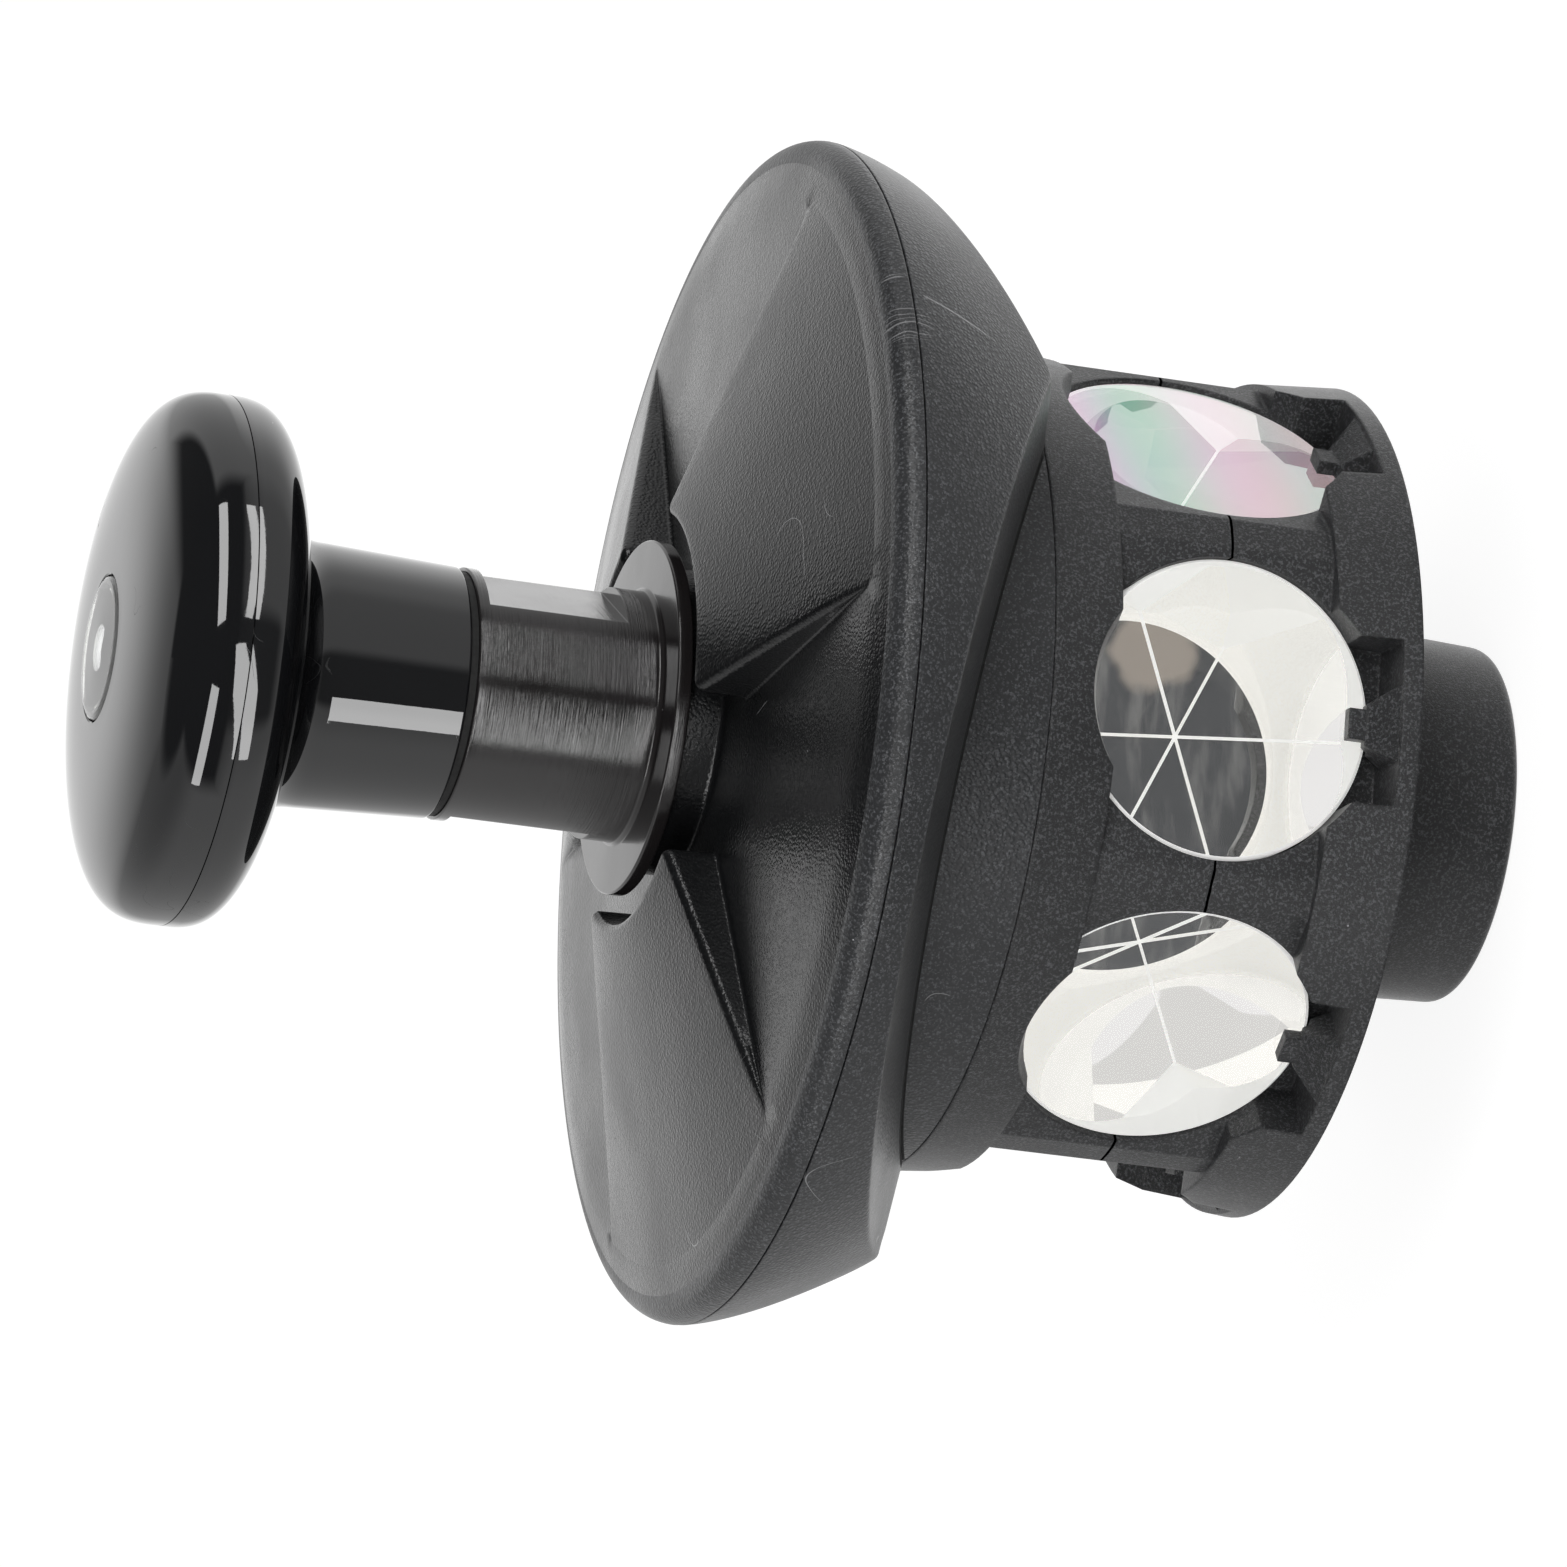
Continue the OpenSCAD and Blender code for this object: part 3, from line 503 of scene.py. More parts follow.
def coated_glass(name):
    """Glass whose thin coating shows pastel bands where it is seen aslant."""
    p = Paint(name, IOR=1.517, Transmission_Weight=1.0, Roughness=0.0, Thin_Film_IOR=2.1)
    p.painted_deep_glow()
    p.paint("Base Color", p.mix(p.noise(8, 1), (0.96, 0.96, 0.96), (0.98, 0.98, 0.98)))
    low, high = (RING_Z - 13) * MM, (RING_Z + 13) * MM
    p.paint("Thin Film Thickness", p.span(p.height(), low, high, 650, 395, "LINEAR"))
    return p.mat


def ground_glass(name):
    """Ground sides of a prism, with a painted glow that stands in for the light coming in through
    its mount.
    """
    p = Paint(name, Roughness=0.8, Emission_Strength=0.33)
    grit = p.span(p.noise(0.25, 3, 0.7), 0.35, 0.65)
    tone = p.mix(grit, (0.88, 0.875, 0.86), (0.95, 0.945, 0.93))
    p.paint("Base Color", tone)
    p.paint("Emission Color", tone)
    p.bumps((p.noise(0.2, 2), 0.004))
    return p.mat


def matt(name, colour, rough, glow=0.0):
    """Matt plastic. glow stands for light that clear pieces round it would pass on."""
    size = 1.5
    p = Paint(name, Emission_Color=(1, 1, 0.98, 1), Emission_Strength=glow)
    p.paint("Base Color", p.mix(p.noise(size, 3), shade(colour, 0.93), colour))
    p.paint("Roughness", p.span(p.noise(size / 3, 2), 0.3, 0.7, rough - 0.05, rough + 0.05))
    p.bumps((p.noise(size / 4, 2), 0.004))
    return p.mat


HOOD = grained_plastic("hood_plastic", (0.0055, 0.0058, 0.0063), 0.3, 0.02, 0.26)
# The hood's sides: the same plastic with a coarser grain and rim marks, and a base colour four
# times lighter, which is painted light for the light that the sides catch
LIT_SIDE = grained_plastic("hood_side_plastic_lit", (0.022, 0.0227, 0.0242), 0.34, 0.028, 0.38,
                       painted_sparkle_level=0.8, marks=rim_marks)
FRAME = plastic_with_painted_sparkle("frame_plastic", (0.018, 0.0184, 0.0194), 0.4)
KNOB = gloss_plastic("knob_gloss")
ANODISED = turned_metal("black_anodised", (0.010, 0.0088, 0.0090), 0.0, 0.15, depth=0.012)
ALUMINIUM = turned_metal("bare_aluminium", (0.75, 0.75, 0.76), 1.0, 0.3)
BRASS = turned_metal("bushing_brass", (0.68, 0.5, 0.23), 1.0, 0.28)
STEEL = turned_metal("screw_steel", (0.6, 0.6, 0.61), 1.0, 0.25)
RUBBER = rubber("soft_rubber")
WASHER = matt("washer_nylon", (0.003, 0.003, 0.003), 0.7)
GLASS = clear("prism_glass", (0.98, 0.995, 0.99), 1.517, painted_deep_glow=True)
MIRROR = silvered("prism_silver", (0.975, 0.97, 0.955))
# A darker copy of the silver: painted shade for the coated prism, which is seen aslant
SHADED_MIRROR = silvered("prism_silver_aslant", (0.66, 0.64, 0.65))
COATED = coated_glass("prism_coated_glass")
GROUND = ground_glass("prism_ground")
ACRYLIC = clear("vial_acrylic", (0.97, 0.98, 0.98), 1.49)
LIQUID = clear("vial_liquid", (0.9, 0.95, 0.88), 1.38)
AIR = clear("vial_air", (0.6, 0.6, 0.6), 1.38, rough=0.5)
SHADOW = matt("gap_shadow", (0.002, 0.002, 0.002), 0.9)
WHITE = matt("vial_white", (0.62, 0.62, 0.6), 0.55, glow=0.6)
MARK = matt("vial_mark", (0.05, 0.05, 0.05), 0.5)
EDGE = matt("vial_edge", (0.1, 0.1, 0.1), 0.5, glow=0.05)


# ----------------------------------------------------------------------- upper hood

# A petal's straight side, for the petal along +X: a line from the apex, and its inward normal
SIDE_LEAN = math.radians(60) - RECESS_HALF
SIDE_APEX = RECESS_APEX * Vector((0.5, math.sqrt(0.75)))
SIDE_ALONG = Vector((math.cos(SIDE_LEAN), math.sin(SIDE_LEAN)))
SIDE_INWARD = Vector((math.sin(SIDE_LEAN), -math.cos(SIDE_LEAN)))


def floor_z(r):
    """The recess floor, which falls more steeply across the band outside the petals."""
    if r > PETAL_R:
        return BAND_Z - BAND_FALL * (r - PETAL_R) / (BAND_R - PETAL_R)
    return BAND_Z + FLOOR_RISE * (PETAL_R - r) / (PETAL_R - CLEARING_R)


def petal_z(r):
    return BAND_Z + PETAL_RISE * (PETAL_R - r) / (PETAL_R - CLEARING_R)


def arc(centre, radius, a0, a1, steps):
    angles = [lerp(a0, a1, i / steps) for i in range(steps + 1)]
    return [centre + radius * Vector((math.cos(a), math.sin(a))) for a in angles]


def circle(radius, count):
    angles = [2 * math.pi * i / count for i in range(count)]
    return [radius * Vector((math.cos(a), math.sin(a))) for a in angles]


def petal_outline(turn):
    """Anticlockwise outline of the petal at angle turn, with round corners, and its normals."""
    corner = 1.1
    origin = Vector((0, 0))

    def corner_centre(reach):
        base = SIDE_APEX + SIDE_INWARD * corner
        ahead = base.dot(SIDE_ALONG)
        t = -ahead + math.sqrt(ahead ** 2 - base.length_squared + reach ** 2)
        return base + SIDE_ALONG * t

    inner = corner_centre(CLEARING_R + corner)
    outer = corner_centre(PETAL_R - corner)
    inner_a = math.atan2(inner.y, inner.x)
    outer_a = math.atan2(outer.y, outer.x)
    side_a = SIDE_LEAN + math.pi / 2
    side_steps = 36
    side = [(outer - SIDE_INWARD * corner).lerp(inner - SIDE_INWARD * corner, i / side_steps)
            for i in range(side_steps + 1)]
    half = arc(origin, PETAL_R, 0, outer_a, 22)
    half += arc(outer, corner, outer_a, side_a, 8)[1:]
    half += side[1:]
    half += arc(inner, corner, side_a, inner_a + math.pi, 10)[1:]
    half += arc(origin, CLEARING_R, inner_a, 0, 12)[1:]
    lower = [Vector((p.x, -p.y)) for p in reversed(half)]
    spin = Matrix.Rotation(turn, 2)
    loop = [spin @ p for p in half[:-1] + lower[:-1]]
    normals = []
    for i in range(len(loop)):
        t = (loop[(i + 1) % len(loop)] - loop[i - 1]).normalized()
        normals.append(Vector((-t.y, t.x)))
    return loop, normals


def wall_profile(height):
    """(offset, rise over the floor or drop under the top, side) across a petal's edge."""
    top_round, foot_round, draft, steps = 0.8, 0.35, 0.12, 5
    k = min(1.0, height / (top_round + foot_round + 0.1))
    rows = []
    for i in range(steps + 1):
        a = math.pi / 2 * i / steps
        rows.append((-draft - foot_round + foot_round * math.sin(a),
                     k * foot_round * (1 - math.cos(a)), "floor"))
    for i in range(steps + 3):
        a = math.pi / 2 * i / (steps + 2)
        rows.append((top_round * (1 - math.cos(a)), -k * top_round * (1 - math.sin(a)), "top"))
    return rows


def petal_wall(turn, verts, faces):
    """Adds the wall round the petal at angle turn. Returns its loops on top and on the floor."""
    columns = []
    for p, normal in zip(*petal_outline(turn)):
        column = []
        height = max(petal_z(p.length) - floor_z(p.length), 0)
        for offset, rise, side in wall_profile(height):
            q = p + normal * offset
            base = petal_z(q.length) if side == "top" else floor_z(q.length)
            column.append(len(verts))
            verts.append((q.x, q.y, base + rise))
        columns.append(column)
    for i in range(len(columns)):
        a, b = columns[i], columns[(i + 1) % len(columns)]
        for j in range(len(a) - 1):
            faces.append([a[j], b[j], b[j + 1], a[j + 1]])
    return [[Vector(verts[c[end]][:2]) for c in columns] for end in (-1, 0)]


def fill(loops, points, height, verts, faces):
    """Fills the area inside the first loop and outside the others, with extra points inside it."""
    flat, edges = [], []
    for loop in loops:
        base = len(flat)
        flat += loop
        edges += [(base + i, base + (i + 1) % len(loop)) for i in range(len(loop))]
    flat += points
    inside, inside_with_holes = 1, 5
    kind = inside_with_holes if len(loops) > 1 else inside
    out, _, tris, *_ = geometry.delaunay_2d_cdt(flat, edges, [], kind, 1e-6)
    start = len(verts)
    verts += [(v.x, v.y, height(v.length)) for v in out]
    faces += [[start + i for i in tri] for tri in tris]


def polar_points(r0, r1, r_step, keep):
    """Points on rings between two radii, about 1.6 mm apart, where keep(point) is true."""
    apart = 1.6
    points = []
    rings = max(1, round((r1 - r0) / r_step))
    for i in range(rings + 1):
        r = lerp(r0, r1, i / rings)
        count = round(2 * math.pi * r / apart)
        for k in range(count):
            a = 2 * math.pi * (k + 0.5 * (i % 2)) / count
            p = Vector((r * math.cos(a), r * math.sin(a)))
            if keep(p):
                points.append(p)
    return points


def petal_depth(p, turn):
    """How far point p lies inside the petal at angle turn, as the least of its margins."""
    q = Matrix.Rotation(-turn, 2) @ p
    if q.x < 0:
        return -HOOD_R
    side = (Vector((q.x, abs(q.y))) - SIDE_APEX).dot(SIDE_INWARD)
    return min(side, q.length - CLEARING_R, PETAL_R - q.length)


def top_shell():
    verts, faces = [], []
    foot_loops = []
    for turn in PETALS:
        top_loop, foot_loop = petal_wall(turn, verts, faces)
        foot_loops.append(foot_loop)
        inside = polar_points(CLEARING_R + 1.6, PETAL_R - 1.4, 1.6,
                              lambda q, t=turn: petal_depth(q, t) > 1.5)
        fill([top_loop], inside, petal_z, verts, faces)
    outside = polar_points(BOSS_FOOT_R + 0.9, BAND_R - 0.9, 1.5,
                           lambda q: all(petal_depth(q, t) < -1.2 for t in PETALS))
    rings = [circle(BAND_R, 240), circle(BOSS_FOOT_R, 144)]
    fill(rings + foot_loops, outside, floor_z, verts, faces)
    piece(mesh_object("hood_top", verts, faces, 38, [HOOD]), "body", "hood_plastic", "top_shell")

    low, lip = SEAM_Z + 0.05, SEAM_Z + 0.25
    rim = bend((HOOD_R - 0.2, low), (HOOD_R, low), (HOOD_R, lip), 3)
    rim += bend((HOOD_R, lip), (HOOD_R - 0.1, BAND_Z - 0.9), (BAND_R, floor_z(BAND_R)), 14)[1:]
    piece(revolve("hood_rim", rim, [LIT_SIDE], 240, smooth_angle=50), "body", "hood_plastic")

    flange_bore = 11.1
    boss = bend((BOSS_FOOT_R, floor_z(BOSS_FOOT_R)), (BOSS_R, floor_z(BOSS_R)),
                (BOSS_R, floor_z(BOSS_R) + 0.5), 4)
    boss += [(BOSS_R, FLANGE_Z), (flange_bore, FLANGE_Z)]
    piece(revolve("hood_boss", boss, [HOOD], 144), "body", "hood_plastic")


# ----------------------------------------------------------------------- lower hood

def cone_point(t):
    """Point t from the lobes (0) to the seam (1) on the lower shell's cone."""
    lobe = (LOBE_R, SEAM_Z - LOBE_DROP)
    rim = (RIM_R - 0.02, SEAM_Z - 0.36 * LOBE_DROP)
    seam = (HOOD_R, SEAM_Z)
    return tuple(lerp(lerp(a, b, t), lerp(b, c, t), t) for a, b, c in zip(lobe, rim, seam))


def recess_offset(angle):
    """Angle to the middle of the nearest recess."""
    return min(abs((angle - r + math.pi) % (2 * math.pi) - math.pi) for r in RECESSES)


def cut_z(r, angle):
    """Height of the flat cut under the nearest recess."""
    return SEAM_Z - CUT_DROP - CUT_SLOPE * (RIM_R - r * math.cos(recess_offset(angle)))


def lower_section(angle):
    """Outline of the lower hood at an angle: down the cone, in along the cut, down the collar."""
    low, high = 0.0, 1.0
    for _ in range(30):
        mid = (low + high) / 2
        r, z = cone_point(mid)
        low, high = (mid, high) if z < cut_z(r, angle) else (low, mid)
    points = [(HOOD_R - 0.2, SEAM_Z - 0.02), (HOOD_R - 0.02, SEAM_Z - 0.06, 0.1)]
    cone_steps = 12
    for i in range(1, cone_steps + 1):
        points.append((*cone_point(lerp(0.985, low, i / cone_steps)), 0))
    edge_r, edge_z, _ = points[-1]
    points[-1] = (edge_r, edge_z, 0.4)
    inner = COLLAR_R + 0.3
    for t in (0.3, 0.6, 0.94):
        r = lerp(edge_r, inner, t)
        points.append((r, cut_z(r, angle), 0))
    # The gap over the cut closes towards the lobes
    fade = (math.radians(46) - recess_offset(angle)) / math.radians(5)
    gap = 1.1 * max(0.0, min(1.0, fade)) + 0.05
    lip = cut_z(inner, angle)
    points += [(inner, lip, 0), (inner, lip + gap, 0), (COLLAR_R, lip + gap, 0),
               (COLLAR_R, lip - 0.22, 0), (COLLAR_R, lerp(lip, FRAME_TOP, 0.4), 0),
               (COLLAR_R, FRAME_TOP + 0.12, 0), (COLLAR_R - 0.12, FRAME_TOP, 0)]
    return rounded(points)


def lower_shell():
    count = 480
    verts, faces, slots = [], [], []
    rows = []
    for k in range(count):
        a = 2 * math.pi * k / count + math.radians(30)
        section = lower_section(a)
        rows.append(range(len(verts), len(verts) + len(section)))
        verts += [(r * math.cos(a), r * math.sin(a), z) for r, z in section]
    # The four strips of faces in the gap over the cut are dark, counted from the collar's foot
    first_dark = len(rows[0]) - 8
    dark = range(first_dark, first_dark + 4)
    for k in range(count):
        a, b = rows[k], rows[(k + 1) % count]
        for j in range(len(a) - 1):
            faces.append([a[j], b[j], b[j + 1], a[j + 1]])
            slots.append(1 if j in dark else 0)
    piece(mesh_object("hood_skirt", verts, faces, 42, [LIT_SIDE, SHADOW], slots),
          "body", "hood_plastic", "lower_shell")


# --------------------------------------------------------------------------- prisms

def corner_cube(sectors):
    """Corner cube with its corner at the origin and its front along +X, and its faces' slots.

    The slots are 0 for the front, 1 for the three rear faces, whose middles lie at the angles
    in sectors, and 2 for the ground sides, the front's chamfer and the edges between faces."""
    edge, chamfer, arcs = 0.12, 0.28, 48
    verts, faces, slots = [], [], []

    def add(y, z, depth=None):
        """Adds a vertex at a depth, or on the nearest rear face."""
        a = math.atan2(z, y)
        face = min((math.radians(f) for f in sectors),
                   key=lambda f: abs((a - f + math.pi) % (2 * math.pi) - math.pi))
        on_face = math.sqrt(2) * math.hypot(y, z) * math.cos(a - face)
        verts.append((on_face if depth is None else depth, y, z))
        return len(verts) - 1

    tips, rims = [], []
    tip_r = edge / math.sin(math.pi / 3)
    span = math.pi / 3 - math.asin(edge / PRISM_R)
    for f in sectors:
        f = math.radians(f)
        tip = add(tip_r * math.cos(f), tip_r * math.sin(f))
        angles = [f + lerp(-span, span, i / arcs) for i in range(arcs + 1)]
        rim = [add(PRISM_R * math.cos(a), PRISM_R * math.sin(a)) for a in angles]
        tips.append(tip)
        rims.append(rim)
        for i in range(arcs):
            faces.append([tip, rim[i], rim[i + 1]])
            slots.append(1)
    for i in range(3):
        n = (i + 1) % 3
        faces.append([tips[i], rims[i][-1], rims[n][0], tips[n]])
        slots.append(2)
    faces.append(tips)
    slots.append(2)
    loop = [v for rim in rims for v in rim]
    front = []
    for v in loop:
        _, y, z = verts[v]
        a = math.atan2(z, y)
        front_r = PRISM_R - chamfer
        front.append((add(y, z, PRISM_DEPTH - chamfer),
                      add(front_r * math.cos(a), front_r * math.sin(a), PRISM_DEPTH)))
    for i in range(len(loop)):
        n = (i + 1) % len(loop)
        faces.append([loop[i], loop[n], front[n][0], front[i][0]])
        faces.append([front[i][0], front[n][0], front[n][1], front[i][1]])
        slots += [2, 2]
    faces.append([f[1] for f in front])
    slots.append(0)
    return verts, faces, slots


def prism(number):
    """A corner cube in its place in the ring, with ground flats beside its neighbours."""
    sectors = (90, 210, 330) if number == TURNED_PRISM else (30, 150, 270)
    verts, faces, slots = corner_cube(sectors)
    name = "prism_%d" % number
    mesh = bpy.data.meshes.new(name)
    placed = [Vector((x - PRISM_DEPTH + PRISM_FACE_R, y, z)) * MM for x, y, z in verts]
    mesh.from_pydata(placed, [], faces)
    coated = number == COATED_PRISM
    for mat in (COATED, SHADED_MIRROR, GROUND) if coated else (GLASS, MIRROR, GROUND):
        mesh.materials.append(mat)
    mesh.polygons.foreach_set("material_index", slots)
    bm = bmesh.new()
    bm.from_mesh(mesh)
    bmesh.ops.recalc_face_normals(bm, faces=bm.faces)
    half = PRISM_STEP / 2
    flats_meet = Vector((PRISM_HALF_GAP / math.sin(half) * MM, 0, 0))
    for sign in (1, -1):
        cut = bmesh.ops.bisect_plane(
            bm, geom=bm.verts[:] + bm.edges[:] + bm.faces[:], plane_co=flats_meet,
            plane_no=(-math.sin(half), sign * math.cos(half), 0), clear_outer=True)
        rim = [e for e in cut["geom_cut"] if isinstance(e, bmesh.types.BMEdge)]
        bmesh.ops.edgeloop_fill(bm, edges=rim, mat_nr=2)
    bmesh.ops.recalc_face_normals(bm, faces=bm.faces)
    turn = math.pi / 2 + (number - 1) * PRISM_STEP
    bmesh.ops.transform(bm, matrix=Matrix.Rotation(turn, 4, "Z"), verts=bm.verts)
    bmesh.ops.translate(bm, vec=(0, 0, RING_Z * MM), verts=bm.verts)
    bm.to_mesh(mesh)
    bm.free()
    obj = bpy.data.objects.new("glass_%d" % number, mesh)
    bpy.context.scene.collection.objects.link(obj)
    piece(obj, "body", "prism_glass", name)


# -------------------------------------------------------------------- turned pieces

def thread(name, radius, depth, z0, z1, run_out, materials, inner=False):
    """A helical thread between two heights, as a skin whose radius falls by depth in a groove."""
    around, per_turn = 72, 10
    rows = max(2, round((z1 - z0) / THREAD_PITCH * per_turn))
    verts, faces = [], []
    for j in range(rows + 1):
        z = lerp(z0, z1, j / rows)
        fade = max(0, min(1, (z - z0) / run_out, (z1 - z) / run_out))
        for k in range(around):
            phase = (z / THREAD_PITCH - k / around) % 1
            groove = min(1, max(0, 1.35 * (1 - abs(2 * phase - 1)) - 0.18))
            r = radius - depth * ((1 - groove) * fade if inner else max(groove, 1 - fade))
            a = 2 * math.pi * k / around
            verts.append((r * math.cos(a), r * math.sin(a), z))
    for j in range(rows):
        low, high = j * around, (j + 1) * around
        for k in range(around):
            n = (k + 1) % around
            faces.append([low + k, low + n, high + n, high + k])
    return mesh_object(name, verts, faces, 40, materials)


def socket():
    foot_r, top_r, inner_r, corner = 15.4, 16.1, BUSHING_R + 0.06, 1.2
    outline = [(inner_r, 0.0)]
    outline += [(foot_r - corner, 0.0)]
    outline += bend((foot_r - corner, 0), (foot_r, 0), (foot_r + 0.05, corner), 8)[1:]
    outline += bend((top_r, SOCKET_H - corner), (top_r, SOCKET_H), (top_r + corner, SOCKET_H), 8)
    outline += [(inner_r, SOCKET_H)]
    boot = revolve("socket_boot_skin", outline, [FRAME], 160, closed=True)
    piece(boot, "body", "frame_plastic", "socket_boot")
    face = rounded([(BORE_R, BORE_MOUTH), (BORE_R + BORE_MOUTH, 0, 0.15), (BUSHING_R, 0, 0.3),
                    (BUSHING_R, SOCKET_H)])
    piece(revolve("bushing_face", face, [BRASS], 128), "body", "bushing_brass", "base_bushing")
    skin = thread("bushing_thread", BORE_R, 1.0, BORE_MOUTH, BORE_DEPTH, 0.6, [BRASS], inner=True)
    piece(skin, "body", "bushing_brass")
    drill_end = [(0, BORE_DEPTH + 1.5), (BORE_R - 1.5, BORE_DEPTH + 0.4), (BORE_R, BORE_DEPTH)]
    piece(revolve("bushing_end", drill_end, [BRASS], 96), "body", "bushing_brass")


def stub():
    foot_z = FLANGE_Z + FLANGE_T
    root_r = STUD_R - 1.1
    thread_z = SHANK_TOP + 1.2
    edge, edge_round, tiny = 0.12, 0.06, 0.02
    body = [(10.94, FLANGE_Z), (FLANGE_R - edge, FLANGE_Z),
            (FLANGE_R, FLANGE_Z + edge, edge_round), (FLANGE_R, foot_z - edge, edge_round),
            (FLANGE_R - edge, foot_z, edge_round), (SHANK_R + 0.3, foot_z, 0.1),
            (SHANK_R, foot_z + 0.3, 0.1)]
    body += [(SHANK_R, z) for z in (FLATS_LOW - tiny, FLATS_LOW, FLATS_TOP, FLATS_TOP + tiny)]
    body += [(SHANK_R, SHANK_TOP - edge, 0.04), (SHANK_R - edge, SHANK_TOP, 0.04),
             (root_r, SHANK_TOP, 0.1), (root_r, thread_z)]

    def flat(r, z, a):
        """The radius at an angle, where the two wrench flats cut the shank."""
        on_flats = FLATS_LOW - tiny / 2 < z < FLATS_TOP + tiny / 2 and r < SHANK_R + 0.01
        return min(r, FLATS_HALF / max(abs(math.cos(a)), 1e-6)) if on_flats else r

    shank = revolve("stub_shank", rounded(body), [ANODISED], 360, radius_at=flat, smooth_angle=22)
    piece(shank, "body", "black_anodised", "stub_adapter")
    skin = thread("stub_thread", STUD_R, 1.1, thread_z, STUD_TOP, 0.9, [ANODISED])
    piece(skin, "body", "black_anodised")
    end = revolve("stub_end", [(root_r, STUD_TOP), (0, STUD_TOP)], [ANODISED], 72)
    piece(end, "body", "black_anodised")


def full_quarter(r, h, t0, t1, steps):
    """(r, height) points on a quarter of a superellipse, from parameter t0 to t1."""
    power = 2 / KNOB_FULLNESS
    params = [lerp(t0, t1, i / steps) for i in range(steps + 1)]
    return [(r * max(math.cos(t), 0) ** power, h * max(math.sin(t), 0) ** power) for t in params]


def knob():
    """The knob's halves, the lower one with its neck as a piece of its own, which is returned."""
    groove_r, side_r, seam = KNOB_R - 0.12, KNOB_R - 0.02, 0.04
    under = [(r, KNOB_SEAM_Z - h)
             for r, h in full_quarter(KNOB_R, KNOB_DOWN, math.radians(57), seam, 26)]
    outline = [(9.46, NECK_Z)]
    outline += bend((SHANK_R - 0.25, NECK_Z), (SHANK_R, NECK_Z), (SHANK_R, NECK_Z + 0.25), 4)
    outline += bend((NECK_TOP_R, NECK_TOP), (NECK_TOP_R, under[0][1]), under[0], 14)
    outline += under[1:]
    outline += [(side_r, KNOB_SEAM_Z - 0.05), (groove_r, KNOB_SEAM_Z - 0.02)]
    split = next(i for i, q in enumerate(outline) if q[1] > NECK_TOP - 1.5)
    neck = revolve("knob_neck", outline[:split + 1], [KNOB], 256, smooth_angle=50)
    piece(neck, "knob", "knob_gloss", "knob_base")
    lower = revolve("knob_lower", outline[split:], [KNOB], 256, smooth_angle=50)
    piece(lower, "knob", "knob_gloss")

    rise = [(r, KNOB_SEAM_Z + h)
            for r, h in full_quarter(KNOB_R, KNOB_UP, seam, math.pi / 2, 44)]
    pocket_full = (1 - (POCKET_R / KNOB_R) ** KNOB_FULLNESS) ** (1 / KNOB_FULLNESS)
    pocket_z = KNOB_SEAM_Z + KNOB_UP * pocket_full
    cap = [(groove_r, KNOB_SEAM_Z + 0.02), (side_r, KNOB_SEAM_Z + 0.05)]
    cap += [p for p in rise if p[0] > POCKET_R + 0.3]
    cap += [(POCKET_R + 0.12, pocket_z + 0.005), (POCKET_R, pocket_z - 0.1),
            (POCKET_R, pocket_z - POCKET_DEPTH), (0, pocket_z - POCKET_DEPTH)]
    upper = revolve("knob_upper", cap, [KNOB], 256, smooth_angle=40)
    piece(upper, "knob", "knob_gloss", "knob_cap")
    return neck


def level_rings():
    """The fine ring round the bubble, on the level's roof, and a dim one in the vial's shoulder."""
    z, inner, outer, thick = LIQUID_TOP - 0.02, 2.85, 3.0, 0.015
    outline = [(inner, z), (outer, z), (outer, z + thick), (inner, z + thick)]
    ring = revolve("level_ring", outline, [MARK], 96, closed=True)
    piece(ring, "knob", "vial_white")
    shoulder = [(5.5, 0.21), (5.93, 0.36), (6.06, 0.72), (5.9, 0.72), (5.75, 0.45), (5.4, 0.3)]
    edge = revolve("level_edge", [(r, VIAL_TOP - drop) for r, drop in shoulder], [EDGE], 96,
                   closed=True)
    piece(edge, "knob", "vial_acrylic")


top_shell()
lower_shell()
for number in range(1, PRISM_COUNT + 1):
    prism(number)
socket()
stub()
neck = knob()
level_rings()

CARRIED = {
    "upper_frame": FRAME, "lower_frame": FRAME, "core_tube": ALUMINIUM, "core_sleeve": RUBBER,
    "flange_seal": RUBBER, "frame_screws": STEEL, "neck_washer": WASHER, "knob_insert": BRASS,
    "vial_body": ACRYLIC, "vial_plug": WHITE, "vial_fluid": LIQUID, "vial_bubble": AIR,
    "vial_backing": WHITE,
}
for node, mat in CARRIED.items():
    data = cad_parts[node].data
    if not data.materials:
        data.materials.append(mat)
    for i in range(len(data.materials)):
        data.materials[i] = mat


# --------------------------------------------------------------------------- studio

# Solved from the photo's perspective: degrees, then the point looked at and its distance
VIEW_AZIMUTH, VIEW_ELEVATION, VIEW_ROLL = -76.93, 15.62, -82.59
VIEW_AIM = Vector((-2.90, -4.60, 61.44)) * MM
VIEW_DISTANCE = 890 * MM
VIEW_LENS = 242.1

# Strength of the plain light, of the room that gloss shows, and of each softbox
PLAIN, ROOM, LAMP = 0.5, 0.06, 6
LAMP_DISTANCE = 0.55
KNOB_CENTRE = Vector((0, 0, KNOB_SEAM_Z * MM))
NECK_CENTRE = Vector((0, 0, NECK_Z + 6)) * MM

